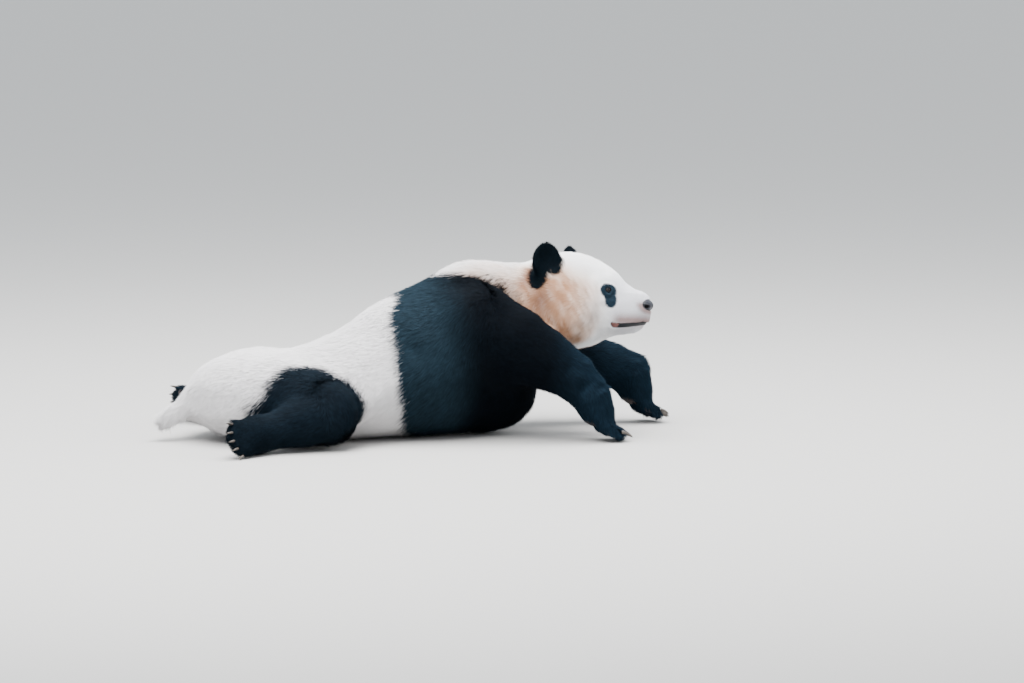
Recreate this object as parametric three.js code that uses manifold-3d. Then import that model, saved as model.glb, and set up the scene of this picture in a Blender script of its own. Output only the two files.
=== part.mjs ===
// Giant panda lying on its chest and belly, head up and turned to its right, forelegs reaching
// forward and down, hind legs sprawled. Life size, in millimetres, +Z up, out to the coat's tips.
// The body is one rounded form made of blended ellipsoids and tapered limbs, parted by thin cuts.
import * as THREE from "three";
import { mergeVertices } from "three/addons/utils/BufferGeometryUtils.js";
import Module from "manifold-3d";

const wasm = await Module();
wasm.setup();

// ---------------------------------------------------------------- driving dimensions
const GAP = 0.36; // clearance left between neighbouring pieces
const WELD = 0.04; // points closer than this become one

// Facet sizes of the rounded forms.
const TRUNK_STEP = 66;
const NECK_STEP = 46;
const LEG_STEP = 46;
const TAIL_STEP = 33;
const HEAD_STEP = 24;
const PAW_STEP = 24;

// How softly neighbouring forms run into each other.
const BODY_BLEND = 62;
const LIMB_BLEND = 46;
const HEAD_BLEND = 34;
const NAPE_BLEND = 60;
const TOE_BLEND = 11;
const BRIDGE_BLEND = 12;
const ELBOW_BLEND = 16; // between the lengths of one limb
const WRIST_BLEND = 30;
const TAIL_BLEND = 30;

// How far round its stops each form is sampled.
const HEAD_MARGIN = 330;
const NECK_MARGIN = 260;
const TAIL_MARGIN = 90;
const LEG_MARGIN = 185;
const PAW_MARGIN = 110;

// Trunk: ellipsoids from rump to withers, each by its middle height, half length, half width
// and half height. Their undersides reach just below the floor, which trims them flat.
const TRUNK_FORMS = [
  { x: -622, z: 113, length: 184, width: 238, height: 123 },
  { x: -480, z: 114, length: 190, width: 262, height: 120 },
  { x: -335, z: 141, length: 172, width: 268, height: 148 },
  { x: -165, z: 192, length: 214, width: 262, height: 201 },
  { x: -40, z: 262, length: 182, width: 168, height: 196 },
  { x: 15, z: 152, length: 150, width: 165, height: 158 },
];
const NECK_BASE = [15, 0, 328];
const NECK_BASE_RADIUS = 133;
const NECK_END = [172, -12, 348];
const NECK_END_RADIUS = 119;
const TAIL_ROOT = [-782, 0, 104];
const TAIL_TIP = [-857, 0, 60];
const TAIL_ROOT_RADIUS = 40;
const TAIL_TIP_RADIUS = 30;

// Head frame: +x to the nose, +y to the animal's left, +z up, origin between the cheeks.
const HEAD_AT = [244, -45, 361];
const HEAD_YAW = -29;
const HEAD_PITCH = 0;
const HEAD_ROLL = -7.5;
const CRANIUM = { at: [0, 0, 8], radii: [124, 112, 122] };
const BROW = { at: [72, 0, 22], radii: [78, 73, 72] };
const NOSE_BRIDGE = { at: [163, 0, 0], radii: [62, 40, 34] };
const CHEEK = { at: [6, 73, -38], radii: [97, 76, 90] };
const THROAT = { at: [22, 0, -72], radii: [92, 70, 50] };
const MUZZLE = { at: [134, 0, -26], radii: [91, 59, 67] };
const EYE_RADIUS = 11.5;
const EYE_STANDS_OUT = 2; // how far the eyeball's front stands out of the coat
const EYE_SIGHT_FROM = [88, 22, 26]; // a line through the eyeball, from inside the head
const EYE_SIGHT_TO = [152, 104, 30];
const NOSE_AT = [207.5, 0, -9];
const NOSE_RADII = [19.5, 27, 17];
const NOSE_GROOVE = 1.8;
const EAR_AT = [-43, 104, 90];
const EAR_HALF_WIDTH = 46;
const EAR_HALF_HEIGHT = 59;
const EAR_HALF_THICKNESS = 19;
const EAR_HOLLOW = 17;
const EAR_CUP = 7; // how far the rim bends forward
const EAR_PINCH = 0.16; // how much narrower the base is
const EAR_TURN = 50; // the hollow faces forward and this far outward
const EAR_LEAN = 12; // the tip leans outward by this much

// Limb centrelines from the body outwards, each stop as [x, y, z, radius].
const FORELEG_RIGHT = [
  [-28, -150, 290, 126],
  [52, -192, 262, 102],
  [124, -219, 224, 86],
  [196, -236, 180, 68],
  [243, -244, 138, 58],
];
const FORELEG_LEFT = [
  [-28, 148, 290, 126],
  [70, 186, 246, 100],
  [190, 200, 200, 84],
  [335, 186, 178, 70],
  [446, 168, 147, 62],
];
const HINDLEG_RIGHT = [
  [-592, -118, 116, 114],
  [-478, -290, 92, 88],
  [-560, -322, 74, 66],
  [-652, -338, 54, 52],
];

// Paws: the frame starts at the wrist or ankle, x out to the toes, z to the back of the paw.
// The toes bend from the palm towards the back of the paw by the lift, in degrees.
const FORE_PAW = { palmLength: 109, halfWidth: 64, halfThickness: 50, toeLength: 44, toeLift: 36 };
const HIND_PAW = { palmLength: 106, halfWidth: 58, halfThickness: 46, toeLength: 40, toeLift: -6 };
const PALM_MIDDLE = 0.48; // of the palm's length
const PALM_REACH = 0.62; // of the palm's length, each way from its middle
const TOE_RADIUS = 22;
const TOE_COUNT = 5;
const TOE_OVERHANG = 3; // the outer toes stand out of the palm's side by this much
const TOE_SHORTENING = 12; // the outer toes are shorter than the middle one by this much
const TOE_SETBACK = 4; // and start this much further back
const CLAW_LENGTH = 36;
const CLAW_RADIUS = 6.4;
const CLAW_DROOP = 46;
const CLAW_RISE = 24; // a claw leaves its toe pointing this far above the toe's own line

// ---------------------------------------------------------------- distance fields
const clamp = (value, low, high) => Math.min(Math.max(value, low), high);

/** Smooth union of two distances, rounded over the width k. */
function blend(a, b, k) {
  const h = Math.max(k - Math.abs(a - b), 0) / k;
  return Math.min(a, b) - h * h * k * 0.25;
}

/** Distance to an upright ellipsoid. */
function ellipsoid(p, at, radii) {
  const [x, y, z] = [p[0] - at[0], p[1] - at[1], p[2] - at[2]];
  const near = Math.hypot(x / radii[0], y / radii[1], z / radii[2]);
  const slope = Math.hypot(x / radii[0] ** 2, y / radii[1] ** 2, z / radii[2] ** 2);
  return slope < 1e-9 ? -Math.min(...radii) : (near * (near - 1)) / slope;
}

/** Distance to a tapered round limb between two stops [x, y, z, radius]. */
function taper(p, a, b) {
  const [dx, dy, dz] = [b[0] - a[0], b[1] - a[1], b[2] - a[2]];
  const along = (p[0] - a[0]) * dx + (p[1] - a[1]) * dy + (p[2] - a[2]) * dz;
  const t = clamp(along / (dx * dx + dy * dy + dz * dz), 0, 1);
  const side = Math.hypot(p[0] - a[0] - t * dx, p[1] - a[1] - t * dy, p[2] - a[2] - t * dz);
  return side - (a[3] + t * (b[3] - a[3]));
}

/** Distance to a limb through several stops. */
function limb(p, stops) {
  let d = taper(p, stops[0], stops[1]);
  for (let i = 1; i + 1 < stops.length; i++) {
    d = blend(d, taper(p, stops[i], stops[i + 1]), ELBOW_BLEND);
  }
  return d;
}

// ---------------------------------------------------------------- frames
/** Matrix of a frame at a point, from its forward and upward directions. */
function frameAt(at, forward, up) {
  const x = new THREE.Vector3(...forward).normalize();
  const y = new THREE.Vector3(...up).cross(x).normalize();
  const z = x.clone().cross(y);
  return new THREE.Matrix4().makeBasis(x, y, z).setPosition(...at);
}

const radians = THREE.MathUtils.degToRad;
const headTurn = new THREE.Euler(radians(HEAD_ROLL), radians(HEAD_PITCH), radians(HEAD_YAW), "ZYX");
const headFrame = new THREE.Matrix4().makeRotationFromEuler(headTurn).setPosition(...HEAD_AT);

/** Same point seen in a frame whose inverse is given. */
function inFrame(inverse, p) {
  const e = inverse.elements;
  return [
    e[0] * p[0] + e[4] * p[1] + e[8] * p[2] + e[12],
    e[1] * p[0] + e[5] * p[1] + e[9] * p[2] + e[13],
    e[2] * p[0] + e[6] * p[1] + e[10] * p[2] + e[14],
  ];
}

const mirrorStops = (stops) => stops.map(([x, y, z, r]) => [x, -y, z, r]);

/** One paw: its leg's centreline, its frame and its kind's sizes. */
function paw(name, leg, forward, up, kind) {
  const end = leg[leg.length - 1];
  const matrix = frameAt(end.slice(0, 3), forward, up);
  return { name, leg, matrix, inverse: matrix.clone().invert(), ...kind };
}

const hindLeft = mirrorStops(HINDLEG_RIGHT);
const paws = [
  paw("foreleg_right", FORELEG_RIGHT, [0.42, -0.05, -0.9], [0.9, -0.1, 0.42], FORE_PAW),
  paw("foreleg_left", FORELEG_LEFT, [0.36, -0.06, -0.93], [0.93, 0.1, 0.36], FORE_PAW),
  paw("hindleg_right", HINDLEG_RIGHT, [-0.66, -0.75, -0.03], [0.72, -0.6, 0.35], HIND_PAW),
  paw("hindleg_left", hindLeft, [-0.66, 0.75, -0.03], [0.72, 0.6, 0.35], HIND_PAW),
];

// Where each leg is parted from the body: frame at its first stop, how far the share reaches
// back and inwards of that stop, and how far below and above it. A foreleg's share is open on
// its inner side too from some way along it.
const legShareSizes = [
  { frame: frameAt([-28, -150, 290], [271, -94, -244], [0, 0, 1]),
    back: 110, inner: 72, low: -135, high: 146, sign: -1, open: 340 },
  { frame: frameAt([-28, 148, 290], [474, 20, -221], [0, 0, 1]),
    back: 110, inner: 44, low: -135, high: 138, sign: 1, open: 362 },
  { frame: frameAt([-385, -185, 95], [-1, 0, 0], [0, 0.34, -0.94]),
    back: 0, inner: 0, low: -600, high: 600, sign: -1 },
  { frame: frameAt([-385, 185, 95], [-1, 0, 0], [0, -0.34, -0.94]),
    back: 0, inner: 0, low: -600, high: 600, sign: 1 },
];

/** Root and tip of a toe in its paw's frame; the middle toe reaches furthest. */
function toeStops(foot, index) {
  const spread = (index - (TOE_COUNT - 1) / 2) / ((TOE_COUNT - 1) / 2);
  const side = (foot.halfWidth - TOE_RADIUS + TOE_OVERHANG) * spread;
  const length = foot.toeLength - TOE_SHORTENING * spread * spread;
  const root = foot.palmLength - TOE_SETBACK * spread * spread;
  const lift = radians(foot.toeLift);
  return [
    [root, side * 0.92, 0, TOE_RADIUS],
    [root + length * Math.cos(lift), side * 1.08, length * Math.sin(lift), TOE_RADIUS * 0.93],
  ];
}

/** Distance to a paw: a palm with five toes. */
function pawField(foot, point) {
  const p = inFrame(foot.inverse, point);
  const palmAt = [foot.palmLength * PALM_MIDDLE, 0, 0];
  let d = ellipsoid(p, palmAt, [foot.palmLength * PALM_REACH, foot.halfWidth, foot.halfThickness]);
  for (let i = 0; i < TOE_COUNT; i++) {
    d = blend(d, taper(p, ...toeStops(foot, i)), TOE_BLEND);
  }
  return d;
}

/** Distance to one leg with its paw. */
function legField(foot, p) {
  return blend(limb(p, foot.leg), pawField(foot, p), WRIST_BLEND);
}

/** Distance to the trunk, neck and tail. */
function torsoField(p) {
  let d = Infinity;
  for (const form of TRUNK_FORMS) {
    const at = [form.x, 0, form.z];
    const shape = ellipsoid(p, at, [form.length, form.width, form.height]);
    d = d === Infinity ? shape : blend(d, shape, BODY_BLEND);
  }
  const neck = taper(p, [...NECK_BASE, NECK_BASE_RADIUS], [...NECK_END, NECK_END_RADIUS]);
  const tail = taper(p, [...TAIL_ROOT, TAIL_ROOT_RADIUS], [...TAIL_TIP, TAIL_TIP_RADIUS]);
  return blend(blend(d, neck, BODY_BLEND), tail, TAIL_BLEND);
}

const headInverse = headFrame.clone().invert();

/** Distance to the head without its ears, from a point in the head's frame. */
function headShape(p) {
  const mirrored = [p[0], Math.abs(p[1]), p[2]];
  let d = blend(ellipsoid(p, CRANIUM.at, CRANIUM.radii), ellipsoid(p, BROW.at, BROW.radii), HEAD_BLEND);
  d = blend(d, ellipsoid(mirrored, CHEEK.at, CHEEK.radii), HEAD_BLEND);
  d = blend(d, ellipsoid(p, THROAT.at, THROAT.radii), HEAD_BLEND);
  d = blend(d, ellipsoid(p, MUZZLE.at, MUZZLE.radii), HEAD_BLEND);
  return blend(d, ellipsoid(p, NOSE_BRIDGE.at, NOSE_BRIDGE.radii), BRIDGE_BLEND);
}

/** Distance to the head, from a point in the part's frame. */
function headField(point) {
  return headShape(inFrame(headInverse, point));
}

/** Point of a line in the head's frame that lies a depth below the head's surface. */
function belowSurface(from, to, depth) {
  const at = (t) => from.map((v, i) => v + t * (to[i] - v));
  let [inner, outer] = [0, 1];
  for (let round = 0; round < 30; round++) {
    const middle = (inner + outer) / 2;
    if (headShape(at(middle)) < -depth) inner = middle;
    else outer = middle;
  }
  return at(inner);
}

/** Distance to the torso with its head run into it. */
function headedField(p) {
  return blend(torsoField(p), headField(p), NAPE_BLEND);
}

/** Distance to the torso with one leg run into it. */
function leggedField(foot, p) {
  return blend(torsoField(p), legField(foot, p), LIMB_BLEND);
}

/** Distance to the torso with its head and all its legs run into it. */
function pandaField(p) {
  return Math.min(headedField(p), ...paws.map((foot) => leggedField(foot, p)));
}

// ---------------------------------------------------------------- surfaces of fields
const CORNERS = [0, 1, 2, 3, 4, 5, 6, 7].map((i) => [i & 1, (i >> 1) & 1, (i >> 2) & 1]);
const EDGES = [];
for (let a = 0; a < 8; a++) {
  for (const bit of [1, 2, 4]) {
    if (!(a & bit)) EDGES.push([a, a | bit]);
  }
}

/** Distance to an upright box between two corners. */
function boxField(p, low, high) {
  return Math.max(...p.map((v, i) => Math.max(low[i] - v, v - high[i])));
}

/** Pulls a vertex onto the zero surface along the field's slope. */
function settle(field, p, step) {
  const e = step * 0.05;
  for (let round = 0; round < 2; round++) {
    const value = field(p);
    const slope = [0, 1, 2].map((axis) => {
      const q = [...p];
      q[axis] += e;
      return (field(q) - value) / e;
    });
    const size = Math.hypot(...slope);
    if (size < 0.2) return p;
    const move = clamp(value / (size * size), -step * 0.3, step * 0.3);
    p = p.map((v, i) => v - slope[i] * move);
  }
  return p;
}

/** Closed surface of the part of a field inside a box, as quads between cell points. */
function surface(field, low, high, step) {
  const bounded = (p) => Math.max(field(p), boxField(p, low, high));
  const counts = low.map((v, i) => Math.ceil((high[i] - v) / step) + 4);
  const start = low.map((v) => v - step * 1.5);
  const at = (i, j, k) => i + counts[0] * (j + counts[1] * k);
  const point = (i, j, k) => [start[0] + i * step, start[1] + j * step, start[2] + k * step];
  const values = new Float64Array(counts[0] * counts[1] * counts[2]);
  for (let k = 0; k < counts[2]; k++) {
    for (let j = 0; j < counts[1]; j++) {
      for (let i = 0; i < counts[0]; i++) {
        values[at(i, j, k)] = bounded(point(i, j, k));
      }
    }
  }
  const cells = new Map();
  const positions = [];
  for (let k = 0; k + 1 < counts[2]; k++) {
    for (let j = 0; j + 1 < counts[1]; j++) {
      for (let i = 0; i + 1 < counts[0]; i++) {
        const corner = CORNERS.map(([a, b, c]) => values[at(i + a, j + b, k + c)]);
        const sum = [0, 0, 0];
        let crossings = 0;
        for (const [a, b] of EDGES) {
          if (corner[a] < 0 === corner[b] < 0) continue;
          const t = corner[a] / (corner[a] - corner[b]);
          for (let n = 0; n < 3; n++) {
            sum[n] += CORNERS[a][n] + t * (CORNERS[b][n] - CORNERS[a][n]);
          }
          crossings++;
        }
        if (!crossings) continue;
        const base = point(i, j, k);
        const p = settle(bounded, base.map((v, n) => v + (sum[n] / crossings) * step), step);
        cells.set(at(i, j, k), positions.length / 3);
        positions.push(...p);
      }
    }
  }
  const index = [];
  const quad = (a, b, c, d, flip) => {
    const [q, r, s, t] = [a, b, c, d].map((key) => cells.get(key));
    index.push(...(flip ? [q, s, r, q, t, s] : [q, r, s, q, s, t]));
  };
  for (let k = 1; k + 1 < counts[2]; k++) {
    for (let j = 1; j + 1 < counts[1]; j++) {
      for (let i = 1; i + 1 < counts[0]; i++) {
        const inside = values[at(i, j, k)] < 0;
        if (inside !== values[at(i + 1, j, k)] < 0) {
          quad(at(i, j - 1, k - 1), at(i, j, k - 1), at(i, j, k), at(i, j - 1, k), !inside);
        }
        if (inside !== values[at(i, j + 1, k)] < 0) {
          quad(at(i - 1, j, k - 1), at(i - 1, j, k), at(i, j, k), at(i, j, k - 1), !inside);
        }
        if (inside !== values[at(i, j, k + 1)] < 0) {
          quad(at(i - 1, j - 1, k), at(i, j - 1, k), at(i, j, k), at(i - 1, j, k), !inside);
        }
      }
    }
  }
  const geometry = new THREE.BufferGeometry();
  geometry.setAttribute("position", new THREE.BufferAttribute(new Float32Array(positions), 3));
  geometry.setIndex(index);
  return geometry;
}

// ---------------------------------------------------------------- solids
/** Solid of a closed geometry, for cutting and joining. */
function solid(geometry) {
  const bare = geometry.clone();
  bare.deleteAttribute("normal");
  bare.deleteAttribute("uv");
  const merged = mergeVertices(bare, 1e-3);
  return new wasm.Manifold(new wasm.Mesh({
    numProp: 3,
    vertProperties: new Float32Array(merged.attributes.position.array),
    triVerts: new Uint32Array(merged.index.array),
  }));
}

/** The largest separate piece of a solid. */
function largest(body) {
  const pieces = body.decompose();
  return pieces.reduce((best, piece) => (piece.volume() > best.volume() ? piece : best));
}

/** Geometry of a solid, with points that nearly touch made one and the slivers between them gone. */
function geometryOf(body) {
  const mesh = body.getMesh();
  const geometry = new THREE.BufferGeometry();
  geometry.setAttribute("position", new THREE.BufferAttribute(mesh.vertProperties, 3));
  geometry.setIndex(new THREE.BufferAttribute(mesh.triVerts, 1));
  const welded = mergeVertices(geometry, WELD);
  const faces = new Map();
  for (let i = 0; i < welded.index.count; i += 3) {
    const face = [0, 1, 2].map((n) => welded.index.getX(i + n));
    if (new Set(face).size < 3) continue;
    const key = [...face].sort((a, b) => a - b).join();
    if (faces.has(key)) faces.delete(key); // two faces back to back enclose nothing
    else faces.set(key, face);
  }
  welded.setIndex([...faces.values()].flat());
  return welded;
}

/** Solid on the forward side of a plane: a big box whose face starts `offset` past the plane. */
function beyond(matrix, offset) {
  const size = 1600;
  const box = new THREE.BoxGeometry(size, size, size);
  box.translate(size / 2 + offset, 0, 0);
  return solid(box.applyMatrix4(matrix));
}

/** Share of a leg: a box in a frame, open on its outer side and along the leg. */
function share({ frame, back, inner, low, high, sign, open }, grow) {
  const reach = 700;
  const height = high - low + 2 * grow;
  const box = new THREE.BoxGeometry(reach + back + 2 * grow, reach + inner + 2 * grow, height);
  box.translate((reach - back) / 2, (sign * (reach - inner)) / 2, (high + low) / 2);
  const whole = solid(box.applyMatrix4(frame));
  if (!open) return whole;
  const end = new THREE.BoxGeometry(reach - open, reach * 2, height);
  end.translate((reach + open) / 2, 0, (high + low) / 2);
  return whole.add(solid(end.applyMatrix4(frame)));
}

/** Lowest and highest corners of a box around some stops, with a margin. */
function boxAround(stops, margin) {
  const low = [0, 1, 2].map((i) => Math.min(...stops.map((s) => s[i])) - margin);
  const high = [0, 1, 2].map((i) => Math.max(...stops.map((s) => s[i])) + margin);
  return [low, high];
}

// ---------------------------------------------------------------- small rigid pieces
/** A rounded form: a sphere scaled to its radii and then shaped vertex by vertex. */
function shapedSphere(radii, grow, around, along, shape) {
  const sphere = new THREE.SphereGeometry(1, around, along);
  const { position } = sphere.attributes;
  for (let i = 0; i < position.count; i++) {
    const unit = [position.getX(i), position.getY(i), position.getZ(i)];
    const p = shape(unit, radii.map((r) => r + grow));
    position.setXYZ(i, ...p);
  }
  return sphere;
}

/** Flat round ear, hollowed on its front, which faces its own +x. */
function earGeometry(grow) {
  const radii = [EAR_HALF_THICKNESS, EAR_HALF_WIDTH, EAR_HALF_HEIGHT];
  const shape = ([x, y, z], r) => {
    const rim = Math.hypot(y * 1.05, (z - 0.12) * 0.95);
    const hollow = x > 0 ? EAR_HOLLOW * clamp(1.25 - rim * 1.6, 0, 1) : 0;
    const bend = EAR_CUP * (y * y + z * z);
    const pinch = 1 - EAR_PINCH * clamp(-z, 0, 1);
    return [x * r[0] - hollow + bend * 0.6, y * r[1] * pinch, z * r[2]];
  };
  return shapedSphere(radii, grow, 16, 9, shape);
}

/** Broad nose pad, blunt in front, with a groove down its middle. */
function noseGeometry(grow) {
  const shape = ([x, y, z], r) => {
    const blunt = 1 - 0.18 * clamp(x, 0, 1) * (y * y + z * z);
    const wide = 1 + 0.12 * z;
    const groove = x > 0.3 ? NOSE_GROOVE * Math.exp(-((y * 6) ** 2)) : 0;
    return [x * r[0] * blunt - groove, Math.sign(y) * Math.abs(y) ** 0.86 * r[1] * wide, z * r[2]];
  };
  return shapedSphere(NOSE_RADII, grow, 14, 9, shape);
}

/** Curved claw along +x, drooping towards -z. */
function clawGeometry(grow) {
  const profile = [];
  const levels = 3;
  for (let i = 0; i <= levels; i++) {
    const t = i / levels;
    const radius = (CLAW_RADIUS + grow) * (1 - t) ** 0.62;
    profile.push(new THREE.Vector2(radius, t * (CLAW_LENGTH + grow)));
  }
  profile[levels].x = 0;
  profile.unshift(new THREE.Vector2(0, -grow));
  const claw = new THREE.LatheGeometry(profile, 6);
  claw.rotateZ(-Math.PI / 2);
  const { position } = claw.attributes;
  const bendRadius = CLAW_LENGTH / radians(CLAW_DROOP);
  for (let i = 0; i < position.count; i++) {
    const angle = position.getX(i) / bendRadius;
    const reach = bendRadius + position.getZ(i) * 1.15;
    position.setX(i, reach * Math.sin(angle));
    position.setZ(i, reach * Math.cos(angle) - bendRadius);
    position.setY(i, position.getY(i) * 0.82);
  }
  return claw;
}

/** Places of a pair: on the animal's left and right. */
const SIDES = [
  { name: "left", sign: 1 },
  { name: "right", sign: -1 },
];

/** Matrix of a piece on one side of the head. */
function onHead([x, y, z], sign, yaw, lean) {
  const turn = new THREE.Euler(sign * radians(-lean), 0, sign * radians(yaw), "ZYX");
  const local = new THREE.Matrix4().makeRotationFromEuler(turn).setPosition(x, sign * y, z);
  return headFrame.clone().multiply(local);
}

/** Matrix of a claw on a toe, in the part's frame. */
function onToe(foot, index) {
  const [root, tip] = toeStops(foot, index);
  const forward = new THREE.Vector3(tip[0] - root[0], tip[1] - root[1], tip[2] - root[2]);
  const local = frameAt(tip.slice(0, 3), forward.toArray(), [0, 0, 1]);
  local.multiply(new THREE.Matrix4().makeTranslation(TOE_RADIUS * 0.5, 0, TOE_RADIUS * 0.36));
  local.multiply(new THREE.Matrix4().makeRotationY(radians(-CLAW_RISE)));
  return foot.matrix.clone().multiply(local);
}

// ---------------------------------------------------------------- materials
/** Plain surface of one colour. */
function finish(color, roughness) {
  return new THREE.MeshStandardMaterial({ color, roughness, metalness: 0 });
}

const whiteCoat = finish(0xdfdcd8, 0.85);
const creamCoat = finish(0xcdb8a6, 0.85);
const blackCoat = finish(0x0d2230, 0.8);
const noseSkin = finish(0x22262c, 0.4);
const eyeSurface = finish(0x0c0d10, 0.08);
const clawHorn = finish(0x8c857a, 0.45);

// ---------------------------------------------------------------- assembly
const panda = new THREE.Group();

/** Adds a named piece to the animal. */
function addPiece(name, geometry, material) {
  const mesh = new THREE.Mesh(geometry, material);
  mesh.name = name;
  panda.add(mesh);
}

const floorSlab = new THREE.BoxGeometry(3000, 3000, 400);
floorSlab.translate(0, 0, -200);
const floor = solid(floorSlab);

// Parting planes.
const headCut = headFrame.clone().multiply(frameAt([-97, 0, 0], [1, 0, 0.06], [0, 0, 1]));
const neckCut = frameAt([-118, 0, 452], [0.72, 0, 0.69], [-0.69, 0, 0.72]);
const chestCut = frameAt([-258, 0, 0], [1, 0, 0], [0, 0, 1]);
const cheekRest = frameAt([180, -186, 275], [0.68, 0.4, 0.61], [0, 0, 1]); // cheek on right foreleg
const tailCut = frameAt([-802, 0, 94], [-0.93, 0, -0.37], [-0.37, 0, 0.93]);
const pawCuts = paws.map((foot) => {
  return foot.matrix.clone().multiply(frameAt([6, 0, 0], [1, 0, 0], [0, 0, 1]));
});

const legBoxes = paws.map((foot) => boxAround(foot.leg, LEG_MARGIN));
const legShares = legShareSizes.map((sizes) => share(sizes, 0));
const legCutters = legShareSizes.map((sizes) => share(sizes, GAP));

/** A solid with several others cut away. */
function without(body, cutters) {
  return cutters.reduce((rest, cutter) => rest.subtract(cutter), body);
}

/** Solid of a field inside a box, at a given facet size, trimmed by the floor. */
function bodyWithin(field, [low, high], step) {
  return solid(surface(field, low, high, step)).subtract(floor);
}

// Ears, eyes and nose, each let into a seat in the head.
const eyeAt = belowSurface(EYE_SIGHT_FROM, EYE_SIGHT_TO, EYE_RADIUS - EYE_STANDS_OUT);
const headSeats = [];
for (const { name, sign } of SIDES) {
  const earMatrix = onHead(EAR_AT, sign, EAR_TURN, EAR_LEAN);
  const eyeMatrix = onHead(eyeAt, sign, 30, 0);
  addPiece(`ear_${name}`, earGeometry(0).applyMatrix4(earMatrix), blackCoat);
  headSeats.push(solid(earGeometry(GAP).applyMatrix4(earMatrix)));
  const eye = new THREE.SphereGeometry(EYE_RADIUS, 12, 7);
  addPiece(`eye_${name}`, eye.applyMatrix4(eyeMatrix), eyeSurface);
  const eyeSeat = new THREE.SphereGeometry(EYE_RADIUS + GAP, 12, 7);
  headSeats.push(solid(eyeSeat.applyMatrix4(eyeMatrix)));
}
const noseMatrix = onHead(NOSE_AT, 1, 0, 0);
addPiece("nose", noseGeometry(0).applyMatrix4(noseMatrix), noseSkin);
headSeats.push(solid(noseGeometry(GAP).applyMatrix4(noseMatrix)));

// Legs, each a share of the body down to its wrist or ankle.
const legFields = paws.map((foot) => (p) => leggedField(foot, p));
const legGeometries = paws.map((foot, i) => {
  const whole = bodyWithin(legFields[i], legBoxes[i], LEG_STEP).intersect(legShares[i]);
  const cutters = [beyond(pawCuts[i], -GAP)];
  if (foot.name === "foreleg_right") cutters.push(beyond(cheekRest, -GAP));
  return geometryOf(largest(without(whole, cutters)));
});
paws.forEach((foot, i) => addPiece(foot.name, legGeometries[i], blackCoat));

// Head, neck, chest, trunk and tail.
const headBox = boxAround([HEAD_AT], HEAD_MARGIN);
const headWithBrisket = bodyWithin(headedField, headBox, HEAD_STEP).intersect(beyond(headCut, 0));
const headSolid = headWithBrisket.intersect(beyond(neckCut, 0)).intersect(beyond(cheekRest, 0));
addPiece("head", geometryOf(largest(without(headSolid, headSeats))), whiteCoat);

const neckBox = boxAround([NECK_BASE, NECK_END], NECK_MARGIN);
const neckSolid = bodyWithin(headedField, neckBox, NECK_STEP).intersect(beyond(neckCut, 0));
addPiece("neck", geometryOf(largest(without(neckSolid, [beyond(headCut, -GAP), ...legCutters]))), creamCoat);

const trunkBox = [[-900, -420, -40], [330, 420, 560]];
const trunkSolid = without(bodyWithin(pandaField, trunkBox, TRUNK_STEP), legCutters);
const chestSolid = trunkSolid.subtract(beyond(neckCut, -GAP)).intersect(beyond(chestCut, 0));
addPiece("chest", geometryOf(largest(chestSolid)), blackCoat);
const rearSolid = without(trunkSolid, [beyond(chestCut, -GAP), beyond(tailCut, -GAP)]);
addPiece("trunk", geometryOf(largest(rearSolid)), whiteCoat);

const tailBox = boxAround([TAIL_ROOT, TAIL_TIP], TAIL_MARGIN);
const tailSolid = bodyWithin(torsoField, tailBox, TAIL_STEP).intersect(beyond(tailCut, 0));
addPiece("tail", geometryOf(largest(tailSolid)), whiteCoat);

// Paws and claws.
for (const [n, foot] of paws.entries()) {
  const pawName = foot.name.replace("leg", "paw");
  const clawSeats = [];
  for (let i = 0; i < TOE_COUNT; i++) {
    const matrix = onToe(foot, i);
    addPiece(`claw_${pawName}_${i + 1}`, clawGeometry(0).applyMatrix4(matrix), clawHorn);
    clawSeats.push(solid(clawGeometry(GAP).applyMatrix4(matrix)));
  }
  const tip = new THREE.Vector3(foot.palmLength, 0, 0).applyMatrix4(foot.matrix).toArray();
  const pawBox = boxAround([foot.leg[foot.leg.length - 1], tip], PAW_MARGIN);
  const pawSolid = bodyWithin(legFields[n], pawBox, PAW_STEP).intersect(beyond(pawCuts[n], 0));
  addPiece(pawName, geometryOf(largest(without(pawSolid, clawSeats).intersect(legShares[n]))), blackCoat);
}

// Origin at the middle of the footprint, on the floor.
const extent = new THREE.Box3().setFromObject(panda);
const middle = extent.getCenter(new THREE.Vector3());
panda.position.set(-middle.x, -middle.y, -extent.min.z);

export default panda;
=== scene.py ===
"""Giant panda lying on its chest and belly, as a life-size museum model, in metres with +Z up.

One skin stands for every node of flesh and lies inside the coat. Tufts of fur grow from it along
the lie of the coat. Eyes, lids, nose, lips, pads and claws are pieces of their own.
"""

import logging
import math
from dataclasses import dataclass
from enum import Enum
from typing import Any, Iterable, Mapping, Sequence

import bmesh
import bpy
import numpy as np
from mathutils import Matrix, Vector
from mathutils.bvhtree import BVHTree


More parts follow.
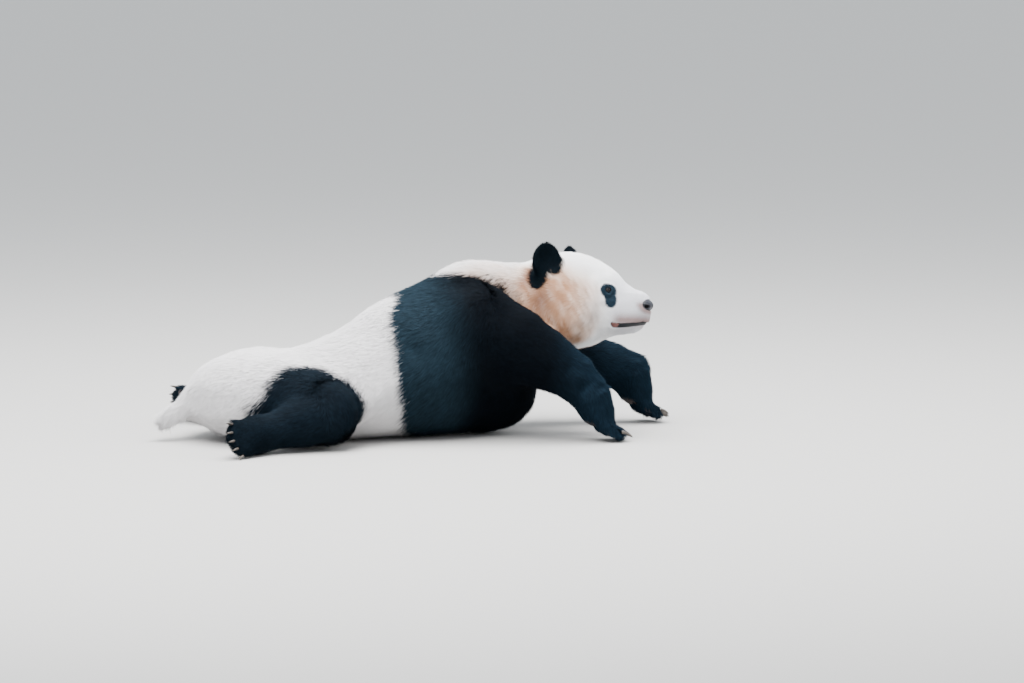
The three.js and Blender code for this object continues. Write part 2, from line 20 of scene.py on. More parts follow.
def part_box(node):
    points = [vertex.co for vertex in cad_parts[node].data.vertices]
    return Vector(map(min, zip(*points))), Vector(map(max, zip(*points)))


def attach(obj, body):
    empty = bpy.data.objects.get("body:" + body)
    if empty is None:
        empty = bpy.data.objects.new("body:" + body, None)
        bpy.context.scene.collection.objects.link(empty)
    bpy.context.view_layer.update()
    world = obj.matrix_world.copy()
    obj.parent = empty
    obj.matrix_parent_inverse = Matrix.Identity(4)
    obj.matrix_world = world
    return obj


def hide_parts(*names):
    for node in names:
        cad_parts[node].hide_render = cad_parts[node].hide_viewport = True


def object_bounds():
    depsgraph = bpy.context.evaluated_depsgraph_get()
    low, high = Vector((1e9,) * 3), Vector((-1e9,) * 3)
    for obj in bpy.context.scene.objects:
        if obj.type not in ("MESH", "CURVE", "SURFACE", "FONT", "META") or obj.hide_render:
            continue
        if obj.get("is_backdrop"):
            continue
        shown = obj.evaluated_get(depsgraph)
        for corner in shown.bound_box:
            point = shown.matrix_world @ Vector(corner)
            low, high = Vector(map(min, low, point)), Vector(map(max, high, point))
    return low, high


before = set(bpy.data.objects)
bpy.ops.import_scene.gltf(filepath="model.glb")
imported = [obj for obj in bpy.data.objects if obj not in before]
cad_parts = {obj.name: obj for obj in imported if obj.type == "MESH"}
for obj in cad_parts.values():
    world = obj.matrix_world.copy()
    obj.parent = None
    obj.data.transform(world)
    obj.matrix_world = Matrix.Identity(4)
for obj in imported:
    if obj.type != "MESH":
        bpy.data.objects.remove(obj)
CAD_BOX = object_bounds()

LOG = logging.getLogger("giant_panda")
MM = 0.001
SIDES = {"left": 1.0, "right": -1.0}

Colour = tuple[float, float, float]
Point = tuple[float, float, float]
Pair = tuple[float, float]


# ------------------------------------------------------------------------------ shader values
class Socket:
    """A value in a shader whose arithmetic adds Math nodes."""

    def __init__(self, graph: "Graph", output: bpy.types.NodeSocket) -> None:
        """Wraps one output.

        Args:
            graph: the material's nodes.
            output: the output that carries the value.
        """
        self.graph = graph
        self.output = output

    def math(self, operation: str, *values: "Socket | float") -> "Socket":
        """Adds one Math node.

        Args:
            operation: the Math node's operation.
            *values: its inputs in order.
        Returns:
            The node's result.
        """
        inputs = dict(enumerate(values))
        return self.graph.node("ShaderNodeMath", {"operation": operation}, inputs)

    def __add__(self, other: "Socket | float") -> "Socket":
        """Sum."""
        return self.math("ADD", self, other)

    def __sub__(self, other: "Socket | float") -> "Socket":
        """Difference."""
        return self.math("SUBTRACT", self, other)

    def __mul__(self, other: "Socket | float") -> "Socket":
        """Product."""
        return self.math("MULTIPLY", self, other)

    def __rsub__(self, other: float) -> "Socket":
        """Difference from a number."""
        return self.math("SUBTRACT", other, self)

    __radd__ = __add__
    __rmul__ = __mul__

    def smooth(self, low: float, high: float) -> "Socket":
        """Smooth step from 0 at `low` to 1 at `high`.

        Args:
            low: value where the step starts.
            high: value where it ends.
        Returns:
            The step.
        """
        settings = {"interpolation_type": "SMOOTHSTEP"}
        return self.graph.node("ShaderNodeMapRange", settings, {0: self, 1: low, 2: high})


class Graph:
    """The nodes of one material, starting from a Principled shader."""

    def __init__(self, name: str) -> None:
        """Makes the material.

        Args:
            name: the material's name.
        """
        self.material = bpy.data.materials.new(name)
        self.material.use_nodes = True
        self.tree = self.material.node_tree
        self.shader = self.tree.nodes["Principled BSDF"]

    def node(
        self,
        kind: str,
        settings: Mapping[str, Any] | None = None,
        inputs: Mapping[int | str, Any] | None = None,
        output: int | str = 0,
    ) -> Socket:
        """Adds any node.

        Args:
            kind: the node's type name.
            settings: its properties, set first.
            inputs: values or sockets by input name or number.
            output: which output to return.
        Returns:
            The chosen output.
        """
        made = self.tree.nodes.new(kind)
        for name, value in (settings or {}).items():
            setattr(made, name, value)
        for key, value in (inputs or {}).items():
            self.feed(made.inputs[key], value)
        return Socket(self, made.outputs[output])

    def feed(self, target: bpy.types.NodeSocket, value: Any) -> None:
        """Sets or links one input.

        Args:
            target: the input.
            value: a number, colour, vector or socket.
        """
        if isinstance(value, Socket):
            self.tree.links.new(value.output, target)
        elif isinstance(value, (tuple, list)) and target.type == "RGBA":
            target.default_value = (*value[:3], 1.0)
        else:
            target.default_value = value

    def place(self) -> Socket:
        """Object coordinates."""
        return self.node("ShaderNodeTexCoord", output="Object")

    def noise(self, scale: float, detail: float = 3.0, stretch: Point = (1.0, 1.0, 1.0)) -> Socket:
        """Noise over the object's own coordinates, 0 to 1.

        Args:
            scale: waves per metre.
            detail: octaves.
            stretch: factors on the coordinates.
        Returns:
            The noise value.
        """
        at = self.node("ShaderNodeMapping", inputs={"Vector": self.place(), "Scale": stretch})
        return self.node("ShaderNodeTexNoise", inputs={"Vector": at, "Scale": scale, "Detail": detail})

    def mix(self, factor: Socket | float, first: Any, second: Any) -> Socket:
        """Mix of two colours.

        Args:
            factor: 0 for the first, 1 for the second.
            first: a colour or socket.
            second: a colour or socket.
        Returns:
            The mixed colour.
        """
        settings = {"data_type": "RGBA"}
        return self.node("ShaderNodeMix", settings, {0: factor, 6: first, 7: second}, 2)

    def bump(self, height: Socket, depth: float, strength: float = 1.0) -> None:
        """Feeds the shader's normal from a height.

        Args:
            height: 0 to 1.
            depth: metres between 0 and 1.
            strength: the bump's strength.
        """
        inputs = {"Height": height, "Distance": depth, "Strength": strength}
        normal = self.node("ShaderNodeBump", inputs=inputs)
        self.feed(self.shader.inputs["Normal"], normal)

    def set(self, **values: Any) -> None:
        """Sets inputs of the Principled shader, spaces in their names written as underscores."""
        for name, value in values.items():
            self.feed(self.shader.inputs[name.replace("_", " ")], value)


def linear(red: int, green: int, blue: int) -> Colour:
    """Linear colour of an sRGB one.

    Args:
        red: 0 to 255.
        green: 0 to 255.
        blue: 0 to 255.
    Returns:
        The three parts in linear light.
    """
    parts = [v / 255.0 for v in (red, green, blue)]
    return tuple(v / 12.92 if v <= 0.04045 else ((v + 0.055) / 1.055) ** 2.4 for v in parts)


# ------------------------------------------------------------------------------ finishes
@dataclass(frozen=True)
class CoatFinish:
    """Fur whose colour is painted tuft by tuft in the coat_colour attribute."""

    name: str = "fur"
    roughness: float = 0.72
    specular: float = 0.04
    streaks: float = 0.08

    def build(self) -> bpy.types.Material:
        """Builds the fur's material.

        Returns:
            The material.
        """
        graph = Graph(self.name)
        colour = graph.node("ShaderNodeVertexColor", {"layer_name": "coat_colour"})
        speck = graph.noise(420.0, 2.0)
        shaded = graph.mix(speck.smooth(0.3, 0.72) * self.streaks, colour, (0.0, 0.0, 0.0))
        graph.set(
            Base_Color=shaded,
            Roughness=self.roughness + (speck - 0.5) * 0.2,
            Specular_IOR_Level=self.specular,
        )
        return graph.material


@dataclass(frozen=True)
class SkinFinish:
    """Skin and underfur, which carries the same markings as the coat."""

    name: str = "underfur"

    def build(self) -> bpy.types.Material:
        """Builds the underfur's material.

        Returns:
            The material.
        """
        graph = Graph(self.name)
        colour = graph.node("ShaderNodeVertexColor", {"layer_name": "coat_colour"})
        strands = graph.noise(700.0, 4.0)
        shade = graph.mix(strands.smooth(0.35, 0.65) * 0.2, colour, (0.0, 0.0, 0.0))
        graph.set(Base_Color=shade, Roughness=0.85, Specular_IOR_Level=0.05)
        graph.bump(strands, 0.0015)
        return graph.material


@dataclass(frozen=True)
class HideFinish:
    """Bare dark skin: nose, lips, lids and pads."""

    name: str
    base: Colour
    tint: Colour
    roughness: float
    pebble: float  # pebbles per metre
    depth: float = 0.0004
    wet: float = 0.0
    specular: float = 0.2

    def build(self) -> bpy.types.Material:
        """Builds the hide's material.

        Returns:
            The material.
        """
        graph = Graph(self.name)
        blotch = graph.noise(90.0, 4.0)
        graph.set(Base_Color=graph.mix(blotch.smooth(0.35, 0.7), self.base, self.tint))
        inputs = {"Vector": graph.place(), "Scale": self.pebble, "Randomness": 0.9}
        cells = graph.node("ShaderNodeTexVoronoi", {"feature": "SMOOTH_F1"}, inputs)
        graph.set(Roughness=self.roughness + (blotch - 0.5) * 0.16, Coat_Weight=self.wet)
        graph.set(Coat_Roughness=0.16, Specular_IOR_Level=self.specular)
        graph.bump(1.0 - cells, self.depth)
        return graph.material


@dataclass(frozen=True)
class EyeFinish:
    """Wet dark eye, with a brown iris round a dark pupil."""

    centre: Point
    sight: Point
    radius: float
    iris_edge: Pair = (0.80, 0.85)  # cosines from the line of sight
    pupil_edge: Pair = (0.945, 0.955)
    white: Colour = linear(20, 16, 15)
    iris_dark: Colour = linear(15, 9, 6)
    iris_light: Colour = linear(30, 18, 11)
    pupil: Colour = (0.001, 0.001, 0.0015)

    def build(self) -> bpy.types.Material:
        """Builds the eye's material.

        Returns:
            The material.
        """
        graph = Graph("eye")
        place = {0: graph.place(), 1: self.centre}
        from_centre = graph.node("ShaderNodeVectorMath", {"operation": "SUBTRACT"}, place)
        along = graph.node(
            "ShaderNodeVectorMath", {"operation": "DOT_PRODUCT"}, {0: from_centre, 1: self.sight}, 1
        )
        facing = along * (1.0 / self.radius)
        iris = graph.mix(graph.noise(900.0, 3.0), self.iris_dark, self.iris_light)
        ball = graph.mix(facing.smooth(*self.iris_edge), self.white, iris)
        colour = graph.mix(facing.smooth(*self.pupil_edge), ball, self.pupil)
        graph.set(Base_Color=colour, Roughness=0.25, Specular_IOR_Level=0.1)
        graph.set(Coat_Weight=0.14, Coat_Roughness=0.03)
        return graph.material


@dataclass(frozen=True)
class HornFinish:
    """Claw horn, streaked along its length."""

    name: str = "claw_horn"
    light: Colour = linear(74, 66, 58)
    dark: Colour = linear(38, 34, 31)

    def build(self) -> bpy.types.Material:
        """Builds the horn's material.

        Returns:
            The material.
        """
        graph = Graph(self.name)
        streaks = graph.noise(260.0, 4.0, (1.0, 1.0, 0.25))
        graph.set(Base_Color=graph.mix(streaks.smooth(0.3, 0.7), self.light, self.dark))
        graph.set(Roughness=0.34 + streaks * 0.2)
        graph.bump(streaks, 0.0003)
        return graph.material


@dataclass(frozen=True)
class FloorFinish:
    """Plain pale floor."""

    tone: Colour = (0.47, 0.459, 0.444)

    def build(self) -> bpy.types.Material:
        """Builds the floor's material.

        Returns:
            The material.
        """
        graph = Graph("floor")
        graph.set(Base_Color=self.tone, Roughness=0.9, Specular_IOR_Level=0.1)
        return graph.material


# ------------------------------------------------------------------------------ mesh helpers
def read(items: Any, name: str, kind: type, width: int = 1) -> np.ndarray:
    """Values of one property over a collection.

    Args:
        items: a Blender collection.
        name: the property.
        kind: the number type.
        width: numbers per item.
    Returns:
        One row per item.
    """
    found = np.empty(len(items) * width, kind)
    items.foreach_get(name, found)
    return found.reshape(-1, width) if width > 1 else found


def unit(vectors: np.ndarray) -> np.ndarray:
    """Rows scaled to length 1."""
    return vectors / np.maximum(np.linalg.norm(vectors, axis=-1, keepdims=True), 1e-9)


def step(values: np.ndarray, low: float, high: float) -> np.ndarray:
    """Smooth step from 0 at `low` to 1 at `high`."""
    t = np.clip((values - low) / (high - low), 0.0, 1.0)
    return t * t * (3.0 - 2.0 * t)


def hump(distance: np.ndarray, reach: float) -> np.ndarray:
    """1 where the distance is nought, and soon 0 past the reach."""
    return np.exp(-((distance / reach) ** 2))


def oval(across: np.ndarray, up: np.ndarray, middle: Pair, half: Pair) -> np.ndarray:
    """1 at the middle of an ellipse, 0 on its edge and negative outside, by its half sizes."""
    return 1.0 - np.hypot((across - middle[0]) / half[0], (up - middle[1]) / half[1])


def ripple(points: np.ndarray, wavelength: float, seed: int, waves: int = 9) -> np.ndarray:
    """Smooth wavy values over space, mostly between -1 and 1.

    Args:
        points: places, one a row.
        wavelength: metres from crest to crest.
        seed: chooses the pattern.
        waves: how many waves are added.
    Returns:
        One value per point.
    """
    rng = np.random.default_rng(seed)
    ways = unit(rng.normal(size=(waves, 3))) * rng.uniform(0.6, 1.5, (waves, 1))
    turns = points @ (ways * 2.0 * math.pi / wavelength).T + rng.uniform(0, 2 * math.pi, waves)
    return np.sin(turns).sum(axis=1) / math.sqrt(waves)


def piece_of(name: str, mesh: bpy.types.Mesh, material: bpy.types.Material) -> bpy.types.Object:
    """Object that shows a mesh in one material.

    Args:
        name: the piece's name.
        mesh: its mesh, in place.
        material: its finish.
    Returns:
        The linked object.
    """
    mesh.name = name
    mesh.materials.clear()
    mesh.materials.append(material)
    made = bpy.data.objects.new(name, mesh)
    bpy.context.scene.collection.objects.link(made)
    return made


def mesh_from(bm: bmesh.types.BMesh, name: str) -> bpy.types.Mesh:
    """Smooth-shaded mesh of a bmesh, which is freed.

    Args:
        bm: the bmesh.
        name: the mesh's name.
    Returns:
        The mesh.
    """
    mesh = bpy.data.meshes.new(name)
    bm.to_mesh(mesh)
    bm.free()
    mesh.polygons.foreach_set("use_smooth", np.ones(len(mesh.polygons), bool))
    return mesh


def neighbours(mesh: bpy.types.Mesh, most: int = 8) -> np.ndarray:
    """For each vertex its neighbours, filled up with the vertex itself.

    Args:
        mesh: the mesh.
        most: columns of the table.
    Returns:
        A table of vertex numbers.
    """
    edges = read(mesh.edges, "vertices", np.int32, 2)
    start = np.concatenate([edges[:, 0], edges[:, 1]])
    end = np.concatenate([edges[:, 1], edges[:, 0]])
    order = np.argsort(start, kind="stable")
    start, end = start[order], end[order]
    count = len(mesh.vertices)
    rank = np.arange(len(start)) - np.searchsorted(start, np.arange(count))[start]
    table = np.repeat(np.arange(count)[:, None], most, axis=1)
    kept = rank < most
    table[start[kept], rank[kept]] = end[kept]
    return table


def soften(values: np.ndarray, table: np.ndarray, times: int, share: Any = 1.0) -> np.ndarray:
    """Values averaged with their neighbours' several times.

    Args:
        values: one row per vertex.
        table: the neighbours.
        times: how often.
        share: how much of each average is taken, in all or per vertex.
    Returns:
        The softened values.
    """
    for _ in range(times):
        values = values + share * (values[table].mean(axis=1) - values)
    return values


def loft(rings: Sequence[Sequence[Vector]], name: str, capped: bool) -> bpy.types.Mesh:
    """Smooth mesh bridged through rings of the same number of points.

    Args:
        rings: the rings in order.
        name: the mesh's name.
        capped: whether its ends are closed.
    Returns:
        The mesh.
    """
    bm = bmesh.new()
    loops = []
    for ring in rings:
        corners = bmesh.ops.create_circle(bm, segments=len(ring), radius=1.0)["verts"]
        for corner, place in zip(corners, ring):
            corner.co = place
        loops.append({edge for corner in corners for edge in corner.link_edges})
    for first, second in zip(loops, loops[1:]):
        bmesh.ops.bridge_loops(bm, edges=list(first | second))
    if capped:
        for end in (loops[0], loops[-1]):
            bmesh.ops.edgeloop_fill(bm, edges=list(end))
    bmesh.ops.recalc_face_normals(bm, faces=bm.faces)
    return mesh_from(bm, name)


def smooth_line(points: Sequence[Vector], t: float) -> Vector:
    """Point of a smooth curve through some points.

    Args:
        points: the points.
        t: 0 at the first and 1 at the last.
    Returns:
        The point of the curve.
    """
    place = min(t, 0.999999) * (len(points) - 1)
    i = int(place)
    s = place - i
    p = [points[max(0, min(len(points) - 1, i + k))] for k in (-1, 0, 1, 2)]
    return 0.5 * (
        2 * p[1] + (p[2] - p[0]) * s + (2 * p[0] - 5 * p[1] + 4 * p[2] - p[3]) * s * s
        + (3 * p[1] - p[0] - 3 * p[2] + p[3]) * s**3
    )


def sphere_bmesh(radius: float, around: int, along: int, matrix: Matrix) -> bmesh.types.BMesh:
    """A bmesh ball whose poles lie on its own Z.

    Args:
        radius: its radius.
        around: segments round the poles.
        along: rings from pole to pole.
        matrix: its place.
    Returns:
        The bmesh.
    """
    bm = bmesh.new()
    bmesh.ops.create_uvsphere(bm, u_segments=around, v_segments=along, radius=radius, matrix=matrix)
    return bm


# ------------------------------------------------------------------------------ the body's plan
class Head:
    """The head's own frame: +x to the nose, +y to the animal's left, +z up."""

    yaw = math.radians(-29.0)
    roll = math.radians(-7.5)
    between_eyes = Vector((0.1139, 0.0, 0.0276))
    eye_radius = 11.5 * MM
    nose_at = Vector((0.2075, 0.0, -0.009))
    nose_seat = np.array((0.021, 0.0285, 0.0185))
    ear_at = Vector((-0.043, 0.104, 0.090))
    sight = Vector((0.64, 0.768, 0.02))
    eye_point = np.array((0.1139, 0.0552, 0.0276))

    def __init__(self) -> None:
        """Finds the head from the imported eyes."""
        self.sight_line = np.array(self.sight.normalized())
        self.eyes = {side: sum(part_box(f"eye_{side}"), Vector()) / 2 for side in SIDES}
        turn = Matrix.Rotation(self.yaw, 4, "Z") @ Matrix.Rotation(self.roll, 4, "X")
        origin = (self.eyes["left"] + self.eyes["right"]) / 2 - turn @ self.between_eyes
        self.matrix = Matrix.Translation(origin) @ turn
        self.inverse = self.matrix.inverted()

    def local(self, points: np.ndarray) -> np.ndarray:
        """Points in the head's own frame.

        Args:
            points: places in the part's frame, one a row.
        Returns:
            The same places in the head's frame.
        """
        m = np.array(self.inverse)
        return points @ m[:3, :3].T + m[:3, 3]

    def off_sight(self, local: np.ndarray) -> np.ndarray:
        """Distance of points of the head's frame, y taken positive, from an eye's line of sight."""
        off = local - self.eye_point
        return np.linalg.norm(off - (off @ self.sight_line)[:, None] * self.sight_line, axis=1)

    def off_nose(self, local: np.ndarray) -> np.ndarray:
        """How far points of the head's frame are from the nose's middle, against the nose's seat."""
        return np.linalg.norm((local - np.array(self.nose_at)) / self.nose_seat, axis=1)

    def sight_of(self, side: str) -> Vector:
        """Direction in which one eye looks, in the part's frame."""
        look = Vector((self.sight.x, self.sight.y * SIDES[side], self.sight.z))
        return (self.matrix.to_3x3() @ look).normalized()


@dataclass(frozen=True)
class Limb:
    """A limb's centreline from the body outwards: each stop is x, y, z and radius, in metres."""

    stops: tuple[tuple[float, float, float, float], ...]
    origin: tuple[float, float, float]

    def nearest(self, points: np.ndarray) -> tuple[np.ndarray, np.ndarray, np.ndarray]:
        """Depth in the limb, its direction and how far along it each point is.

        Args:
            points: places in the part's frame, one a row.
        Returns:
            Distance to the limb's surface, negative inside, the limb's direction there, and
            the number of stops passed.
        """
        best = np.full(len(points), np.inf)
        passed = np.zeros(len(points))
        way = np.zeros_like(points)
        for i, (a, b) in enumerate(zip(self.stops, self.stops[1:])):
            start = np.array(a[:3]) + self.origin
            span = np.array(b[:3]) - np.array(a[:3])
            t = np.clip((points - start) @ span / (span @ span), 0.0, 1.0)
            apart = np.linalg.norm(points - start - t[:, None] * span, axis=1)
            depth = apart - (a[3] + t * (b[3] - a[3]))
            closer = depth < best
            best = np.where(closer, depth, best)
            passed = np.where(closer, i + t, passed)
            way[closer] = span / np.linalg.norm(span)
        return best, way, passed


@dataclass(frozen=True)
class Paw:
    """A paw in its own frame: x out to the toes, z to its back, from the wrist or ankle."""

    name: str
    matrix: Matrix
    palm: float
    half_width: float
    toe: float
    toe_radius: float = 0.022
    toes: int = 5

    def pads(self) -> list[tuple[float, float, float, float]]:
        """Lays out the pads of the sole.

        Returns:
            Place, half length and half width of each pad.
        """
        made = [(self.palm * 0.70, 0.0, 0.019, self.half_width * 0.66)]
        for i in range(self.toes):
            spread = (i - (self.toes - 1) / 2) / ((self.toes - 1) / 2)
            across = (self.half_width - self.toe_radius + 0.003) * spread
            made.append((self.palm + 0.55 * self.toe - 0.012 * spread**2, across, 0.0135, 0.0095))
        return made

    def on_pads(self, points: np.ndarray, normals: np.ndarray) -> np.ndarray:
        """1 on the pads and 0 off them.

        Args:
            points: places on the skin.
            normals: the skin's normals there.
        Returns:
            One value per point.
        """
        m = np.array(self.matrix.inverted())
        local = points @ m[:3, :3].T + m[:3, 3]
        facing = step(-(normals @ m[:3, :3].T)[:, 2], 0.05, 0.3)
        near = (np.abs(local[:, 2]) < 0.09) & (local[:, 0] > 0.0)
        best = np.zeros(len(points))
        for x, y, long, wide in self.pads():
            r = np.hypot((local[:, 0] - x) / long, (local[:, 1] - y) / wide)
            best = np.maximum(best, step(-r, -1.05, -0.9))
        return best * facing * near


class Plan:
    """Where the trunk, neck and limbs run, from the head's place."""

    head_in_body = (0.244, -0.045, 0.361)
    foreleg_right = (
        (-0.028, -0.150, 0.290, 0.126),
        (0.052, -0.192, 0.262, 0.102),
        (0.124, -0.219, 0.224, 0.086),
        (0.196, -0.236, 0.180, 0.068),
        (0.243, -0.244, 0.138, 0.060),
        (0.289, -0.250, 0.040, 0.060),
    )
    foreleg_left = (
        (-0.028, 0.148, 0.290, 0.126),
        (0.070, 0.186, 0.246, 0.100),
        (0.190, 0.200, 0.200, 0.084),
        (0.335, 0.186, 0.178, 0.070),
        (0.446, 0.168, 0.147, 0.062),
        (0.486, 0.160, 0.045, 0.062),
    )
    hindleg_right = (
        (-0.520, -0.235, 0.100, 0.098),
        (-0.478, -0.290, 0.092, 0.092),
        (-0.560, -0.322, 0.074, 0.070),
        (-0.652, -0.338, 0.054, 0.056),
        (-0.726, -0.420, 0.050, 0.056),
    )
    spine = (
        (0.172, -0.012, 0.348, 0.119),
        (0.015, 0.0, 0.320, 0.135),
        (-0.165, 0.0, 0.200, 0.210),
        (-0.335, 0.0, 0.150, 0.200),
        (-0.622, 0.0, 0.115, 0.190),
        (-0.782, 0.0, 0.104, 0.060),
        (-0.852, 0.0, 0.036, 0.035),
    )

    def __init__(self, head: Head) -> None:
        """Sets the plan in the part's frame.

        Args:
            head: the head's frame.
        """
        self.head = head
        self.origin = tuple(head.matrix.translation - Vector(self.head_in_body))
        left = tuple((x, -y, z, r) for x, y, z, r in self.hindleg_right)
        self.limbs = {
            "foreleg_right": Limb(self.foreleg_right, self.origin),
            "foreleg_left": Limb(self.foreleg_left, self.origin),
            "hindleg_right": Limb(self.hindleg_right, self.origin),
            "hindleg_left": Limb(left, self.origin),
        }
        self.back = Limb(self.spine, self.origin)
        fore, hind = (0.109, 0.064, 0.044), (0.106, 0.058, 0.040)
        self.paws = [
            self.paw("forepaw_right", self.foreleg_right[4], (0.42, -0.05, -0.9), (0.9, -0.1, 0.42), fore),
            self.paw("forepaw_left", self.foreleg_left[4], (0.36, -0.06, -0.93), (0.93, 0.1, 0.36), fore),
            self.paw("hindpaw_right", self.hindleg_right[3], (-0.66, -0.75, -0.03), (0.72, -0.6, 0.35), hind),
            self.paw("hindpaw_left", left[3], (-0.66, 0.75, -0.03), (0.72, 0.6, 0.35), hind),
        ]

    def paw(self, name: str, stop: Sequence[float], forward: Point, up: Point, sizes: Point) -> Paw:
        """A paw at the end of its leg.

        Args:
            name: the paw's name.
            stop: the leg's last stop.
            forward: towards the toes.
            up: towards the back of the paw.
            sizes: the palm's length, half its width and the toes' length.
        Returns:
            The paw.
        """
        x = Vector(forward).normalized()
        y = Vector(up).cross(x).normalized()
        turn = Matrix((x, y, x.cross(y))).transposed().to_4x4()
        place = Matrix.Translation(Vector(stop[:3]) + Vector(self.origin)) @ turn
        return Paw(name, place, *sizes)

    def body(self, points: np.ndarray) -> np.ndarray:
        """Points from the body's own origin, between the shoulders on the floor."""
        return points - np.array(self.origin)


# ------------------------------------------------------------------------------ markings
@dataclass(frozen=True)
class Markings:
    """Colours of the coat over the whole animal."""

    plan: Plan
    # painted sheen: the saddle's black is lighter than the shoulders' deep black, for light on its flat-lying
    # fur
    black: Colour = linear(24, 38, 47)
    deep_black: Colour = linear(4, 9, 15)
    # painted sheen: the forearms' black is lighter than the shoulders' deep black, for light falling on them
    lit_forearm_black: Colour = linear(14, 29, 40)
    hind_black: Colour = linear(12, 22, 30)
    ear_black: Colour = linear(3, 11, 17)
    patch_black: Colour = linear(31, 45, 56)
    white: Colour = linear(249, 249, 250)
    cream: Colour = linear(238, 216, 199)
    tan: Colour = linear(182, 137, 106)
    brown: Colour = linear(96, 62, 52)
    grey: Colour = linear(208, 208, 214)
    # partly painted shade, partly the pinkish brown of the whisker pads: muzzle above the lip and beside the
    # lower nose
    lip_shade: Colour = linear(150, 124, 120)
    fuzz: float = 0.012
    face_fuzz: float = 0.0022
    rear_edge: float = -0.229  # of the band round the shoulders, at the back
    front_edge: float = -0.13
    front_top: float = 0.43
    brisket_top: float = 0.245
    brisket_front: float = 0.32
    fore_reach: float = 0.026  # past a limb's plan
    hind_reach: float = 0.024
    paw_reach: float = 0.15
    paw_middle: float = 0.25  # of the palm's length
    ear_rear: tuple[Pair, Pair] = ((-0.064, 0.062), (0.031, 0.043))  # middle and half sizes, x and z
    ear_front: tuple[Pair, Pair] = ((-0.021, 0.084), (0.019, 0.024))
    patch_upper: tuple[Pair, Pair] = ((-0.0008, 0.0005), (0.0243, 0.0185))  # across and up from the eye
    patch_lower: tuple[Pair, Pair] = ((0.0055, -0.0235), (0.0178, 0.0265))
    oval_depth: float = 0.018  # metres from an oval's edge to its middle
    blend_power: float = 5.0  # of the two ovals of an eye patch
    rim_share: float = 0.35  # of brown in the pale coat beside the black
    lock_slope: Pair = (0.91, 0.41)  # of the cheek's locks, in x and z
    lock_width: float = 0.013

    def darkness(self, points: np.ndarray, on_head: np.ndarray, on_ear: np.ndarray) -> np.ndarray:
        """How far each point lies inside the black, in metres, negative in the white.

        Args:
            points: places on the skin, one a row.
            on_head: 0 to 1, how much of the point is head.
            on_ear: the same for the ears.
        Returns:
            One distance per point.
        """
        body = self.plan.body(points)
        x, y, z = body[:, 0], np.abs(body[:, 1]), body[:, 2]
        rear = self.rear_edge - 0.045 * step(y, 0.02, 0.15) + 0.03 * step(-z, -0.16, -0.02)
        behind = x - rear
        front = self.front_edge + 1.1 * y + (self.front_top - z)
        front += 0.080 * step(z, 0.35, 0.39) * step(y, 0.07, 0.11)
        saddle = np.minimum(behind, (front - x) / 1.8)
        brisket = np.minimum(np.minimum(self.brisket_top - z, behind), self.brisket_front - x)
        face = on_head * step(self.plan.head.local(points)[:, 2], -0.165, -0.125)
        dark = np.maximum(saddle, brisket) - 0.5 * face
        for name, limb in self.plan.limbs.items():
            depth, _, _ = limb.nearest(points)
            reach = self.fore_reach if name.startswith("fore") else self.hind_reach
            dark = np.maximum(dark, reach - depth - 0.4 * face)
        for paw in self.plan.paws:
            middle = np.array(paw.matrix @ Vector((paw.palm * self.paw_middle, 0.0, 0.0)))
            apart = np.linalg.norm(points - middle, axis=1)
            dark = np.maximum(dark, self.paw_reach - apart - 0.4 * face)
        dark = np.maximum(dark, self.eye_patch(points))
        dark = np.maximum(dark, self.ear_base(points))
        return np.maximum(dark, (on_ear - 0.5) * 0.03)

    def ear_base(self, points: np.ndarray) -> np.ndarray:
        """How far each point lies inside the black round an ear's base.

        Args:
            points: places on the skin, one a row.
        Returns:
            One distance per point, in metres.
        """
        local = self.plan.head.local(points)
        x, z = local[:, 0], local[:, 2]
        black = np.maximum(oval(x, z, *self.ear_rear), oval(x, z, *self.ear_front))
        return np.where(np.abs(local[:, 1]) > 0.04, black * self.oval_depth, -1.0)

    def eye_patch(self, points: np.ndarray) -> np.ndarray:
        """How far each point lies inside an eye patch.

        Args:
            points: places on the skin, one a row.
        Returns:
            One distance per point, in metres.
        """
        local = self.plan.head.local(points)
        x, y, z = local[:, 0], np.abs(local[:, 1]), local[:, 2]
        sight = self.plan.head.sight
        across = (x - 0.121) * sight.y - (y - 0.064) * sight.x
        upper = oval(across, z - 0.027, *self.patch_upper)
        lower = oval(across, z - 0.027, *self.patch_lower)
        power = self.blend_power
        patch = (np.logaddexp(power * upper, power * lower) / power - 0.05) * self.oval_depth
        return np.where((x > 0.05) & (y > 0.02), patch, -1.0)

    def paint(self, points: np.ndarray, on_head: np.ndarray, on_ear: np.ndarray) -> np.ndarray:
        """Coat colour at each point.

        Args:
            points: places on the skin, one a row.
            on_head: 0 to 1, how much of the point is head.
            on_ear: the same for the ears.
        Returns:
            Linear red, green and blue per point, and how dark the point is from 0 to 1.
        """
        dark = self.darkness(points, on_head, on_ear)
        fuzz = self.softness(on_head, on_ear)
        dark = dark + fuzz * 0.22 * ripple(points, 0.02, 11)
        black = step(dark / fuzz, -0.5, 0.5)[:, None]
        pale = self.pale(points, on_head)
        rim = step(dark, -0.05, 0.0) * step(-on_head, -0.5, -0.1)
        pale = pale + (self.rim_share * rim)[:, None] * (np.array(self.brown) - pale)
        coat = self.dark(points, on_ear)
        return np.concatenate([pale + black * (coat - pale), black], axis=1)

    def dark(self, points: np.ndarray, on_ear: np.ndarray) -> np.ndarray:
        """Colour of the black coat at each point, painted lighter on the saddle and forearms than on the
        shoulders as painted sheen.

        Args:
            points: places on the skin, one a row.
            on_ear: 0 to 1, how much of the point is ear.
        Returns:
            Linear red, green and blue per point.
        """
        body = self.plan.body(points)
        x, y = body[:, 0], body[:, 1]
        colour = np.tile(np.array(self.black), (len(points), 1))
